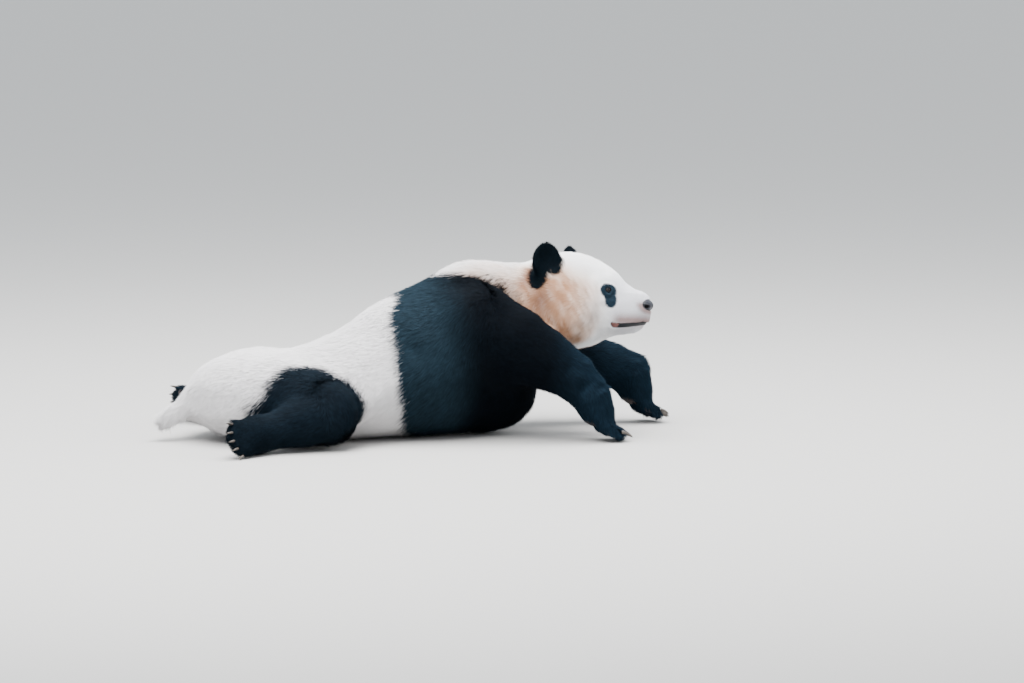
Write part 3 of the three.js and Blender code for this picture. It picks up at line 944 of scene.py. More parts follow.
        # painted sheen: deep black on the shoulders, with lighter black on the saddle and forearms where
        # light falls
        for target, amount in (
            (self.deep_black, step(x + 0.10 * body[:, 2], -0.135, -0.01)),
            (self.lit_forearm_black, step(x - 0.16 * step(y, -0.05, 0.05), 0.11, 0.25)),
            (self.hind_black, step(-x, 0.26, 0.32)),
            (self.patch_black, step(self.eye_patch(points), -0.006, 0.0)),
            (self.ear_black, np.maximum(on_ear, step(self.ear_base(points), -0.006, 0.0))),
        ):
            colour += amount[:, None] * (np.array(target) - colour)
        return colour

    def softness(self, on_head: np.ndarray, on_ear: np.ndarray) -> np.ndarray:
        """Width of the markings' edges at each point, in metres."""
        return self.fuzz + np.maximum(on_head, on_ear) * (self.face_fuzz - self.fuzz)

    def pale(self, points: np.ndarray, on_head: np.ndarray) -> np.ndarray:
        """Colour of the pale coat at each point, with painted shade under and behind the ears, above the lip
        and beside the nose.

        Args:
            points: places on the skin, one a row.
            on_head: 0 to 1, how much of the point is head.
        Returns:
            Linear red, green and blue per point.
        """
        local = self.plan.head.local(points)
        x, y, z = local[:, 0], np.abs(local[:, 1]), local[:, 2]
        uneven = ripple(points, 0.07, 5) * 0.012
        colour = np.tile(np.array(self.white), (len(points), 1))

        def blend(target: Colour, amount: np.ndarray) -> None:
            """Takes the colour towards a target."""
            colour[:] = colour + amount[:, None] * (np.array(target) - colour)

        near = step(x, -0.34, -0.20) * step(y, 0.03, 0.09)
        slope = z + uneven + 0.35 * np.maximum(x, -0.03) + 0.032 * step(-x, 0.10, 0.15)
        blend(self.cream, near * step(-x, -0.145, -0.03) * step(-slope, -0.135, -0.07) * 0.8)
        tanned = near * step(-x, -0.13, -0.01) * step(-slope, -0.088, -0.040)
        tanned *= (1.0 - 0.5 * step(-x, 0.09, 0.13)) * step(y, 0.02, 0.08)
        along, level = self.lock_slope
        across, down = along * x + level * z, level * x - along * z
        locks = ripple(np.stack([across, 0.22 * down, 0.4 * y], axis=1), self.lock_width, 51)
        blend(self.tan, np.clip(tanned * (0.92 + 0.20 * locks), 0.0, 1.0))
        blend(self.brown, tanned * np.clip(0.06 + 0.13 * locks, 0.0, 0.3))
        # painted shade: a brown shadow under the ear, and brown fur with painted shade behind it
        under_ear_shade = 0.63 * hump(x + 0.046, 0.034) * hump(z + 0.002, 0.040)
        behind_ear_brown_and_shade = 0.6 * hump(x + 0.098, 0.022) * hump(z - 0.048, 0.026)
        blend(self.brown, np.clip(under_ear_shade + behind_ear_brown_and_shade, 0.0, 0.9) * step(y, 0.05, 0.09))
        blend(self.grey, step(x, 0.10, 0.15) * on_head * 0.8)
        # painted shade above the lip and under the sides of the nose, partly the pinkish brown of the whisker
        # pads
        over_lip = hump(z + 0.052, 0.0155) * step(x, 0.118, 0.155)
        by_nose = step(-self.plan.head.off_nose(local), -1.8, -1.15) * step(-z, -0.004, 0.010)
        blend(self.lip_shade, np.maximum(over_lip, by_nose) * on_head * 0.9)
        return colour


# ------------------------------------------------------------------------------ skin
class Region(Enum):
    """Parts of the body whose coat differs."""

    HEAD = "head"
    NECK = "neck"
    CHEST = "chest"
    TRUNK = "trunk"
    TAIL = "tail"
    EAR = "ear"
    FORELEG = "foreleg"
    FOREPAW = "forepaw"
    HINDLEG = "hindleg"
    HINDPAW = "hindpaw"

    def nodes(self) -> list[str]:
        """Names of the nodes that the region stands for."""
        single = self.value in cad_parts
        return [self.value] if single else [f"{self.value}_{side}" for side in SIDES]


@dataclass(frozen=True)
class Pelt:
    """How the coat grows on a part of the body, in metres."""

    depth: float  # from the skin up to the coat's tips
    length: float  # of a tuft
    width: float  # of a tuft at its widest
    crowd: float  # tufts on the same area, against 1 on the trunk
    rounding: float  # how much the surface is evened out

    def measures(self) -> np.ndarray:
        """The five measures in order."""
        return np.array([self.depth, self.length, self.width, self.crowd, self.rounding])


PELTS = {
    Region.HEAD: Pelt(0.009, 0.018, 0.0014, 2.3, 0.08),
    Region.NECK: Pelt(0.013, 0.032, 0.0018, 1.3, 0.7),
    Region.CHEST: Pelt(0.014, 0.034, 0.0020, 1.0, 1.0),
    Region.TRUNK: Pelt(0.014, 0.034, 0.0019, 1.1, 1.0),
    Region.TAIL: Pelt(0.013, 0.038, 0.0019, 1.4, 0.15),
    Region.EAR: Pelt(0.0045, 0.014, 0.0011, 4.2, 0.05),
    Region.FORELEG: Pelt(0.011, 0.026, 0.0017, 1.35, 0.75),
    Region.FOREPAW: Pelt(0.009, 0.020, 0.0014, 2.1, 0.22),
    Region.HINDLEG: Pelt(0.011, 0.026, 0.0017, 1.25, 0.65),
    Region.HINDPAW: Pelt(0.009, 0.020, 0.0014, 2.1, 0.18),
}
CHEEK = Pelt(0.015, 0.036, 0.0016, 2.1, 0.08)
MUZZLE = Pelt(0.0030, 0.0075, 0.0009, 5.0, 0.08)
EYE_RIM = Pelt(0.0030, 0.0075, 0.0010, 4.4, 0.05)
TUFT_FACES = np.array(((0, 2, 1), (3, 0, 1), (3, 1, 2), (3, 2, 0)))  # corners of a closed spike
TUFT_SPOTS = np.array(((0.0, 0.0), (0.0, 1.0), (0.2, 0.5), (1.0, 0.5)))  # its points on the map


class Mouth:
    """The line between the lips, and the dark band of the lower lip under it."""

    guide = (  # one side in the head's frame, from the corner to the middle
        (0.134, 0.0480, -0.0640),
        (0.150, 0.0465, -0.0650),
        (0.169, 0.0420, -0.0620),
        (0.188, 0.0310, -0.0570),
        (0.203, 0.0150, -0.0515),
        (0.208, 0.0000, -0.0495),
    )
    band_drop = 0.0062
    steps = 26
    face_from = 0.09  # x in the head's frame, behind which nothing is near the mouth

    def __init__(self, head: Head, tree: BVHTree) -> None:
        """Lays the mouth on the skin.

        Args:
            head: the head's frame.
            tree: search tree of the skin.
        """
        self.head = head
        self.tree = tree
        self.line = self.trace(0.0)
        self.band = self.trace(self.band_drop)

    def trace(self, drop: float) -> np.ndarray:
        """One side of the mouth on the skin, moved down.

        Args:
            drop: how far down.
        Returns:
            Points in the head's frame, from the corner to the middle.
        """
        guide = [Vector(p) - Vector((0, 0, drop)) for p in self.guide]
        points = []
        for k in range(self.steps):
            on_skin = self.tree.find_nearest(self.head.matrix @ smooth_line(guide, k / (self.steps - 1)))
            points.append(self.head.inverse @ on_skin[0])
        return np.array(points)

    @staticmethod
    def away(local: np.ndarray, line: np.ndarray) -> np.ndarray:
        """Distance of each point from a line of short steps.

        Args:
            local: points in the head's frame, with y taken positive.
            line: the line's points.
        Returns:
            One distance per point.
        """
        best = np.full(len(local), np.inf)
        close = np.flatnonzero(local[:, 0] > Mouth.face_from)
        for a, b in zip(line, line[1:]):
            span = b - a
            t = np.clip((local[close] - a) @ span / (span @ span), 0.0, 1.0)
            apart = np.linalg.norm(local[close] - a - t[:, None] * span, axis=1)
            best[close] = np.minimum(best[close], apart)
        return best


@dataclass
class Skin:
    """The one skin that stands for all the nodes of flesh."""

    plan: Plan
    markings: Markings
    voxel: float = 0.006
    join: float = 0.0012
    fine_from: Pair = (0.045, 0.080)  # x in the head's frame, past which each edge is halved
    rounds: int = 110
    weight_rounds: int = 24
    share_rounds: int = 10
    push_rounds: tuple[int, int] = (12, 50)
    wrist_ease: float = 0.8  # of the way by which a bend would be pushed out again
    floor_gap: float = 0.004
    kept_share: float = 0.44  # of the skin's triangles, once the coat has been grown from all of them
    hide: Colour = linear(34, 36, 42)
    # painted shade: the skin under the coat is darkened to this share of the markings' colours
    shade: float = 0.95  # of the markings' colours under the coat

    rises: tuple[tuple[float, float, Point], ...] = (  # height, reach and middle
        (0.0030, 0.017, (0.180, 0.034, -0.040)),  # whisker pad
        (0.0020, 0.020, (0.185, 0.0, -0.083)),  # chin
        (0.0020, 0.012, (0.104, 0.049, 0.049)),  # brow
        (-0.0015, 0.012, (0.128, 0.044, 0.012)),  # hollow before the eye
    )

    def __post_init__(self) -> None:
        """Names the flesh and the regions' order."""
        self.regions = list(Region)
        self.flesh = [(i, node) for i, r in enumerate(self.regions) for node in r.nodes()]

    def gather(self) -> tuple[bpy.types.Mesh, BVHTree, np.ndarray]:
        """Joins copies of the nodes.

        Returns:
            The joined mesh, a search tree of it, and each face's region.
        """
        bm = bmesh.new()
        regions: list[int] = []
        fillers = [(0, "eye_left"), (0, "eye_right"), (0, "nose")]
        for index, node in self.flesh + fillers:
            part = bmesh.new()
            part.from_mesh(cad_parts[node].data)
            bmesh.ops.remove_doubles(part, verts=part.verts, dist=0.02 * MM)
            part.normal_update()
            for v in part.verts:
                v.co += v.normal * self.join
            mesh = bpy.data.meshes.new("part")
            part.to_mesh(mesh)
            part.free()
            bm.from_mesh(mesh)
            regions += [index] * len(mesh.polygons)
            bpy.data.meshes.remove(mesh)
        tree = BVHTree.FromBMesh(bm)
        joined = mesh_from(bm, "joined")
        return joined, tree, np.array(regions)

    def remesh(self, mesh: bpy.types.Mesh) -> bpy.types.Mesh:
        """One closed surface round a mesh, finer on the face.

        Args:
            mesh: the joined nodes.
        Returns:
            The new mesh.
        """
        source = bpy.data.objects.new("source", mesh)
        bpy.context.scene.collection.objects.link(source)
        remesh = source.modifiers.new("one_surface", "REMESH")
        remesh.mode = "VOXEL"
        remesh.voxel_size = self.voxel
        bpy.context.view_layer.update()
        shown = source.evaluated_get(bpy.context.evaluated_depsgraph_get())
        bm = bmesh.new()
        bm.from_mesh(shown.to_mesh())
        shown.to_mesh_clear()
        bpy.data.objects.remove(source)
        for reach in self.fine_from:
            local = self.plan.head.local(np.array([v.co[:] for v in bm.verts]))
            inside = local[:, 0] > reach
            fine = [e for e in bm.edges if inside[e.verts[0].index] and inside[e.verts[1].index]]
            bmesh.ops.subdivide_edges(bm, edges=fine, cuts=1, use_grid_fill=True)
            bm.verts.index_update()
        return mesh_from(bm, "skin")

    def weigh(self, points: np.ndarray, tree: BVHTree, face_region: np.ndarray) -> np.ndarray:
        """Share of each region at each vertex, before softening.

        Args:
            points: the vertices.
            tree: search tree of the joined nodes.
            face_region: region of each of its faces.
        Returns:
            A row of shares per vertex.
        """
        faces = [tree.find_nearest(Vector(p))[2] for p in points]
        weights = np.zeros((len(points), len(self.regions)))
        weights[np.arange(len(points)), face_region[faces]] = 1.0
        return weights

    def build(self) -> bpy.types.Object:
        """Makes the skin.

        Returns:
            The skin's object.
        """
        joined, tree, face_region = self.gather()
        mesh = self.remesh(joined)
        self.mesh = mesh
        points = read(mesh.vertices, "co", np.float32, 3).astype(float)
        table = neighbours(mesh)
        self.weights = soften(self.weigh(points, tree, face_region), table, self.weight_rounds)
        self.on_head = self.weights[:, self.regions.index(Region.HEAD)]
        self.on_ear = self.weights[:, self.regions.index(Region.EAR)]
        self.pelt = self.spread_pelts(points)
        outline = self.tree(points)
        share = soften(self.pelt[:, 4:5], table, self.share_rounds)
        points = soften(points, table, self.rounds, share)
        self.move(points)
        found = [outline.find_nearest(Vector(p)) for p in points]
        nearest = np.array([f[0] for f in found])
        outward = np.array([f[1] for f in found])
        sunk = -np.einsum("ij,ij->i", points - nearest, outward) - self.join
        push = soften((self.pelt[:, 0] - sunk)[:, None], table, self.push_rounds[0])
        push = soften(push, table, self.push_rounds[1], share)
        push += self.wrist_ease * self.at_wrists(points)[:, None] * (np.maximum(push, 0.0) - push)
        points = points - self.normals * push
        points[:, 2] = np.maximum(points[:, 2], self.floor_gap)
        self.move(points)
        self.mouth = Mouth(self.plan.head, self.tree(points))
        self.move(points + self.normals * self.folds()[:, None])
        self.paint()
        skin = piece_of("skin", mesh, SkinFinish().build())
        skin.modifiers.new("thin", "DECIMATE").ratio = self.kept_share
        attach(skin, "root")
        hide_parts(*[node for _, node in self.flesh])
        return skin

    def tree(self, points: np.ndarray) -> BVHTree:
        """Search tree of the skin with its vertices at some points."""
        return BVHTree.FromPolygons(points.tolist(), [tuple(p.vertices) for p in self.mesh.polygons])

    def move(self, points: np.ndarray) -> None:
        """Sets the skin's vertices and works out its normals.

        Args:
            points: their new places.
        """
        self.mesh.vertices.foreach_set("co", points.astype(np.float32).ravel())
        self.mesh.update()
        self.points = points
        self.normals = read(self.mesh.vertices, "normal", np.float32, 3).astype(float)

    def at_wrists(self, points: np.ndarray) -> np.ndarray:
        """Where a limb's bend into its paw is evened out.

        Args:
            points: places in the part's frame, one a row.
        Returns:
            1 at the wrists and ankles and 0 away from them.
        """
        near = np.zeros(len(points))
        for paw in self.plan.paws:
            apart = np.linalg.norm(points - np.array(paw.matrix.translation), axis=1)
            near = np.maximum(near, step(-apart, -0.125, -0.070))
        return near

    def spread_pelts(self, points: np.ndarray) -> np.ndarray:
        """The coat's measures at each vertex.

        Args:
            points: the vertices.
        Returns:
            Depth, length, width, crowd and rounding per vertex.
        """
        local = self.plan.head.local(points)
        spread = self.weights @ np.array([PELTS[r].measures() for r in self.regions])
        spread[:, 4] = np.maximum(spread[:, 4], 0.95 * self.at_wrists(points))
        x, y, z = local[:, 0], np.abs(local[:, 1]), local[:, 2]
        cheek = self.on_head * step(-x, -0.10, -0.03) * step(-z, -0.04, 0.03) * step(y, 0.03, 0.08)
        muzzle = self.on_head * step(x, 0.085, 0.15)
        eye = np.linalg.norm(np.stack([x, y, z], axis=1) - self.plan.head.eye_point, axis=1)
        rim = step(-eye, -0.055, -0.030)
        for amount, pelt in ((cheek, CHEEK), (muzzle, MUZZLE), (rim, EYE_RIM)):
            spread += amount[:, None] * (pelt.measures() - spread)
        return spread

    def folds(self) -> np.ndarray:
        """Works out the face's folds: lips, whisker pads, chin, brow, lids' mounds and nose seat.

        Returns:
            Their height over each vertex.
        """
        head = self.plan.head
        local = head.local(self.points)
        local[:, 1] = np.abs(local[:, 1])
        line = Mouth.away(local, self.mouth.line)
        band = Mouth.away(local, self.mouth.band)
        over = Mouth.away(local - np.array((0.0, 0.0, 0.007)), self.mouth.line)

        rise = 0.0022 * hump(over, 0.0050) - 0.0045 * hump(line, 0.0030) - 0.0012 * hump(band, 0.0055)
        for height, reach, at in self.rises:
            rise += height * hump(np.linalg.norm(local - np.array(at), axis=1), reach)
        rise += 0.0034 * hump(head.off_sight(local) - 0.0130, 0.0046) * step(local[:, 0], 0.07, 0.09)
        middle = step(local[:, 0], 0.175, 0.19) * step(-local[:, 2], 0.018, 0.026)
        middle *= step(local[:, 2], -0.060, -0.052)
        rise -= 0.0022 * middle * hump(local[:, 1], 0.0020)
        return rise - 0.010 * step(-head.off_nose(local), -1.02, -0.86)

    def bare(self) -> np.ndarray:
        """Finds the skin's bare places, which are the eyes, nose, lips and pads.

        Returns:
            1 where a vertex is bare and 0 in the coat.
        """
        head = self.plan.head
        local = head.local(self.points)
        local[:, 1] = np.abs(local[:, 1])
        from_eye = np.linalg.norm(local - head.eye_point, axis=1)
        eye = step(-head.off_sight(local), -0.0086, -0.0068) * step(-from_eye, -0.022, -0.018)
        nose = step(-head.off_nose(local), -1.07, -0.98)
        over = local - np.array((0.0, 0.0, 0.0030))
        corner = np.linalg.norm(local - np.array(Mouth.guide[0]), axis=1)
        lips = step(-Mouth.away(local, self.mouth.band), -0.0078, -0.0064)
        lips = np.maximum(lips, step(-Mouth.away(over, self.mouth.line), -0.0042, -0.0032))
        lips = np.maximum(lips, step(-corner, -0.0105, -0.0085))
        most = np.maximum(np.maximum(eye, nose), lips)
        for paw in self.plan.paws:
            most = np.maximum(most, paw.on_pads(self.points, self.normals))
        return most

    def paint(self) -> None:
        """Paints the markings on the skin, darkened under the coat as painted shade."""
        # painted shade: the markings are darkened where they lie under the coat
        paint = self.markings.paint(self.points, self.on_head, self.on_ear)[:, :3] * self.shade
        self.bareness = self.bare()
        paint += self.bareness[:, None] * (np.array(self.hide) - paint)
        colour = self.mesh.color_attributes.new("coat_colour", "FLOAT_COLOR", "POINT")
        rgba = np.concatenate([paint, np.ones((len(paint), 1))], axis=1)
        colour.data.foreach_set("color", rgba.astype(np.float32).ravel())


# ------------------------------------------------------------------------------ the lie of the coat
@dataclass
class Lay:
    """Directions in which the coat lies."""

    plan: Plan
    drop: float = 0.35
    cheek_drop: float = 1.9
    limb_pull: float = 5.0  # pulls are set against the trunk's lie, which is 1
    limb_reach: float = 0.035
    shoulder_drop: float = 1.6
    face_pull: float = 4.0
    eye_pull: float = 9.0
    eye_reach: float = 0.017
    ear_pull: float = 12.0
    swirl: float = 0.07
    swirl_length: float = 0.11
    rounds: int = 16

    def ways(self, skin: Skin) -> np.ndarray:
        """Direction of the coat along the skin.

        Args:
            skin: the skin.
        Returns:
            Unit directions in the skin's tangent planes, one per vertex.
        """
        points, normals = skin.points, skin.normals
        _, total, _ = self.plan.back.nearest(points)
        total[:, 2] -= self.drop
        for limb in self.plan.limbs.values():
            depth, way, passed = limb.nearest(points)
            reach = np.exp(-np.maximum(depth, 0.0) / self.limb_reach)
            out = step(passed, 0.0, 1.6)
            total = total + (self.limb_pull * reach * out)[:, None] * way
            total[:, 2] -= self.shoulder_drop * reach * (1.0 - out)
        head = self.plan.head
        local = head.local(points)
        turn = np.array(head.matrix.to_3x3()).T
        face = unit(local - np.array(head.nose_at)) @ turn
        low_cheek = step(-local[:, 0], -0.10, 0.0) * step(-local[:, 2], -0.03, 0.04)
        face[:, 2] -= self.cheek_drop * low_cheek
        total = unit(total) + self.face_pull * skin.on_head[:, None] * unit(face)
        side = np.stack([np.ones(len(local)), np.sign(local[:, 1]), np.ones(len(local))], axis=1)
        from_eye = local - side * head.eye_point
        near_eye = self.eye_pull * hump(np.linalg.norm(from_eye, axis=1), self.eye_reach)
        total = total + near_eye[:, None] * (unit(from_eye) @ turn)
        ear_base = np.array((head.ear_at.x, head.ear_at.y, head.ear_at.z - 0.05))
        total = total + self.ear_pull * skin.on_ear[:, None] * (unit(local - side * ear_base) @ turn)
        swirl = ripple(points, self.swirl_length, 21)[:, None] * self.swirl
        swirl = swirl * (1.0 - 0.5 * skin.on_head[:, None])
        total = unit(total) + swirl * np.cross(normals, unit(total))
        flat = total - normals * np.einsum("ij,ij->i", total, normals)[:, None]
        return unit(soften(unit(flat), neighbours(skin.mesh), self.rounds))


# ------------------------------------------------------------------------------ coat
@dataclass
class Coat:
    """Tufts over the whole skin, in pieces."""

    skin: Skin
    lay: Lay
    triangles_in_all: int = 1_460_000
    triangles_in_piece: int = 198_000
    seed: int = 7
    patch: float = 0.003  # side of a tuft's place on the map
    map_angle: float = 1.15
    map_gap: float = 0.004
    under_thinning: float = 0.75  # of the coat, where the body lies on it
    own_normal: float = 0.36  # share of a tuft's own roundness in its shading

    def build(self) -> list[bpy.types.Object]:
        """Grows the coat.

        Returns:
            The coat's pieces.
        """
        self.prepare()
        material = CoatFinish().build()
        return [self.piece(*group, material) for group in self.groups()]

    def prepare(self) -> None:
        """Works out the directions, and how many tufts each triangle of skin grows."""
        skin = self.skin
        self.ways = self.lay.ways(skin)
        skin.mesh.calc_loop_triangles()
        self.triangles = read(skin.mesh.loop_triangles, "vertices", np.int32, 3)
        a, b, c = (skin.points[self.triangles[:, k]] for k in range(3))
        area = np.linalg.norm(np.cross(b - a, c - a), axis=1) / 2
        crowd = (skin.pelt[:, 3] * self.showing())[self.triangles].mean(axis=1)
        self.region = skin.weights.argmax(axis=1)[self.triangles[:, 0]]
        self.most = self.triangles_in_piece // len(TUFT_FACES)
        self.wanted = area * crowd
        self.wanted *= self.triangles_in_all / len(TUFT_FACES) / self.wanted.sum()

    def showing(self) -> np.ndarray:
        """Works out how thickly the coat covers: less where the body rests, none on bare skin.

        Returns:
            0 to 1 per vertex.
        """
        skin = self.skin
        under = step(-skin.normals[:, 2], 0.55, 0.9) * step(-skin.points[:, 2], -0.05, -0.02)
        return (1.0 - self.under_thinning * under) * (1.0 - skin.bareness)

    def groups(self) -> Iterable[tuple[str, str, np.ndarray]]:
        """Splits the skin's triangles into pieces of coat.

        Yields:
            Each piece's name, its material slot and its triangles.
        """
        skin = self.skin
        centre = skin.points[self.triangles].mean(axis=1)
        paired = {Region.EAR, Region.FORELEG, Region.FOREPAW, Region.HINDLEG, Region.HINDPAW}
        slots = {r: "white_coat" for r in (Region.HEAD, Region.TRUNK, Region.TAIL)}
        slots[Region.NECK] = "cream_coat"
        for index, kind in enumerate(skin.regions):
            seen = skin.plan.head.local(centre) if kind is Region.EAR else centre
            for side, sign in SIDES.items() if kind in paired else (("", 0.0),):
                beside = (sign == 0.0) | (np.sign(seen[:, 1]) == sign)
                chosen = np.flatnonzero((self.region == index) & beside)
                name = f"coat_{kind.value}" + (f"_{side}" if side else "")
                parts = max(1, math.ceil(self.wanted[chosen].sum() / self.most))
                order = chosen[np.argsort(centre[chosen, 0], kind="stable")]
                grown = np.cumsum(self.wanted[order])
                which = np.minimum((grown / grown[-1] * parts).astype(int), parts - 1)
                for part in range(parts):
                    label = name if parts == 1 else f"{name}_{part + 1}"
                    yield label, slots.get(kind, "black_coat"), np.sort(order[which == part])

    def unwrap(self, faces: np.ndarray) -> np.ndarray:
        """Unwrap of some of the skin's triangles.

        Args:
            faces: numbers of the triangles.
        Returns:
            The places of each triangle's corners on the map.
        """
        used, corners = np.unique(self.triangles[faces], return_inverse=True)
        mesh = bpy.data.meshes.new("patch")
        mesh.from_pydata(self.skin.points[used].tolist(), [], corners.reshape(-1, 3).tolist())
        patch = bpy.data.objects.new("patch", mesh)
        bpy.context.scene.collection.objects.link(patch)
        bpy.ops.object.select_all(action="DESELECT")
        patch.select_set(True)
        bpy.context.view_layer.objects.active = patch
        mesh.uv_layers.new(name="OFBake")
        bpy.ops.object.mode_set(mode="EDIT")
        bpy.ops.mesh.select_all(action="SELECT")
        bpy.ops.uv.smart_project(
            angle_limit=self.map_angle, island_margin=self.map_gap, scale_to_bounds=True
        )
        bpy.ops.object.mode_set(mode="OBJECT")
        places = read(mesh.uv_layers["OFBake"].uv, "vector", np.float32, 2).reshape(-1, 3, 2)
        bpy.data.objects.remove(patch)
        bpy.data.meshes.remove(mesh)
        return places

    def piece(
        self, name: str, slot: str, faces: np.ndarray, material: bpy.types.Material
    ) -> bpy.types.Object:
        """Grows one piece of coat.

        Args:
            name: the piece's name.
            slot: its material slot; not used.
            faces: the skin's triangles it covers.
            material: the fur's finish.
        Returns:
            The piece's object.
        """
        skin = self.skin
        rng = np.random.default_rng([self.seed, *name.encode()])
        grown = np.cumsum(self.wanted[faces])
        count = min(int(round(grown[-1])), self.most)
        picks = (np.arange(count) + rng.random(count)) / count * grown[-1]
        at = np.searchsorted(grown, picks).clip(0, len(faces) - 1)
        r1 = np.sqrt(rng.random(count))
        r2 = rng.random(count)
        shares = np.stack([1 - r1, r1 * (1 - r2), r1 * r2], axis=1)
        corners = self.triangles[faces[at]]

        def spread(values: np.ndarray) -> np.ndarray:
            """Value of a vertex property at each root."""
            return np.einsum("ij,ij...->i...", shares, values[corners])

        root = spread(skin.points)
        tufts = Tufts(root, unit(spread(skin.normals)), spread(self.ways), spread(skin.pelt), rng)
        colours = tufts.colours(skin.markings, spread(skin.on_head), spread(skin.on_ear))
        uv_root = np.einsum("ij,ijk->ik", shares, self.unwrap(faces)[at])
        mesh = self.mesh(name, tufts.points(), tufts.normals(self.own_normal), colours, uv_root)
        made = piece_of(name, mesh, material)
        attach(made, "root")
        LOG.info("%s: %d tufts", name, count)
        return made

    def mesh(
        self,
        name: str,
        points: np.ndarray,
        normals: np.ndarray,
        colours: np.ndarray,
        uv_root: np.ndarray,
    ) -> bpy.types.Mesh:
        """Joined mesh of all the tufts of a piece.

        Args:
            name: the mesh's name.
            points: the points of each tuft.
            normals: their shading normals.
            colours: their colours.
            uv_root: where each tuft's root lies on the skin's map.
        Returns:
            The mesh.
        """
        count, size = points.shape[:2]
        index = (TUFT_FACES[None] + size * np.arange(count)[:, None, None]).reshape(-1)
        mesh = bpy.data.meshes.new(name)
        mesh.vertices.add(count * size)
        mesh.vertices.foreach_set("co", points.astype(np.float32).ravel())
        mesh.loops.add(len(index))
        mesh.loops.foreach_set("vertex_index", index.astype(np.int32))
        mesh.polygons.add(len(index) // 3)
        mesh.polygons.foreach_set("loop_start", np.arange(0, len(index), 3, dtype=np.int32))
        mesh.polygons.foreach_set("use_smooth", np.ones(len(index) // 3, bool))
        mesh.update(calc_edges=True)
        mesh.normals_split_custom_set_from_vertices(normals.reshape(-1, 3).tolist())
        colour = mesh.color_attributes.new("coat_colour", "FLOAT_COLOR", "POINT")
        rgba = np.concatenate([colours.reshape(-1, 3), np.ones((count * size, 1))], axis=1)
        colour.data.foreach_set("color", rgba.astype(np.float32).ravel())
        inside = np.clip(uv_root, self.patch, 1.0 - self.patch)
        places = inside[:, None] + (TUFT_SPOTS[None] - 0.5) * self.patch
        layer = mesh.uv_layers.new(name="OFBake")
        layer.uv.foreach_set("vector", places.reshape(-1, 2)[index].astype(np.float32).ravel())
        return mesh


class Tufts:
    """The tufts of one piece of coat."""

    seen = 0.6  # how far along a tuft its colour is chosen
    lengths = (0.7, 1.15)  # least and most, against the pelt's
    lifts = (0.58, 1.0)
    widths = (0.8, 1.25)
    stray = 0.13  # radians by which tufts differ in direction
    sway = (0.09, 0.026)  # radians and wavelength
    clump = 0.024
    sunk = 0.0010
    floor = (0.0006, 0.0012)  # least height over the floor, and its spread
    tones = (0.45, 1.7)

    def __init__(
        self,
        root: np.ndarray,
        up: np.ndarray,
        way: np.ndarray,
        pelt: np.ndarray,
        rng: np.random.Generator,
    ) -> None:
        """Gives each tuft its own length, lift, width and direction.

        Args:
            root: where each tuft leaves the skin.
            up: the skin's normal there.
            way: the lie of the coat.
            pelt: the coat's measures.
            rng: the random numbers.
        """
        self.root, self.up, self.rng = root, up, rng
        count = len(root)
        depth, length, width = pelt[:, :3].T
        way = unit(way - up * np.einsum("ij,ij->i", way, up)[:, None])
        turn = rng.normal(0.0, self.stray, count) + self.sway[0] * ripple(root, self.sway[1], 31)
        self.way = unit(way + np.cross(up, way) * turn[:, None])
        self.side = np.cross(up, self.way)
        self.clumps = ripple(root, self.clump, 41)
        self.length = (length * rng.uniform(*self.lengths, count))[:, None]
        self.lift = (depth * (rng.uniform(*self.lifts, count) + 0.08 * self.clumps))[:, None]
        self.width = (width * rng.uniform(*self.widths, count))[:, None]
        self.along = np.sqrt(np.maximum(self.length**2 - self.lift**2, (0.2 * self.length) ** 2))

    def points(self) -> np.ndarray:
        """Shapes the tufts.

        Returns:
            The places of the points of each tuft.
        """
        up, wide = self.up, self.side * self.width
        base = self.root - up * self.sunk
        tip = self.root + self.way * self.along + up * self.lift
        ridge = base + up * self.width * 0.8
        stacked = np.stack([base - wide * 0.62, base + wide * 0.62, ridge, tip], axis=1)
        floor = self.floor[0] + self.floor[1] * self.rng.random((len(base), 1))
        stacked[:, :, 2] = np.maximum(stacked[:, :, 2], floor)
        return stacked

    def normals(self, own: float) -> np.ndarray:
        """Shading normals: the skin's, with some of the tuft's own roundness.

        Args:
            own: share of the tuft's own.
        Returns:
            A normal for each point of each tuft.
        """
        up, side = self.up, self.side * own
        return unit(np.stack([up - side, up + side, up, up], axis=1))

    def colours(self, markings: Markings, on_head: np.ndarray, on_ear: np.ndarray) -> np.ndarray:
        """Colours of the tufts' points, chosen by what lies under the outer half of each tuft, with painted
        shade at each root and painted light at each tip.

        Args:
            markings: the animal's markings.
            on_head: how much of the place is head.
            on_ear: how much of it is ear.
        Returns:
            Linear colours for each point of each tuft.
        """
        count = len(self.root)
        fray = markings.softness(on_head, on_ear)[:, None] * 0.5
        middle = self.root + self.way * self.along * self.seen
        paint = markings.paint(middle + self.rng.normal(0.0, 1.0, (count, 3)) * fray, on_head, on_ear)
        tone = 1.0 + 0.035 * self.rng.normal(size=count) + 0.02 * self.clumps
        tone = tone * (1.0 + 0.26 * paint[:, 3] * self.rng.normal(size=count))
        colour = paint[:, :3] * np.clip(tone, *self.tones)[:, None]
        # painted shade and light: each tuft darker at its root, where the coat shades it, and a little
        # lighter at its tip
        shade = np.linspace(0.91, 1.04, len(TUFT_SPOTS))
        return np.clip(colour[:, None, :] * shade[None, :, None], 0.0, 0.95)


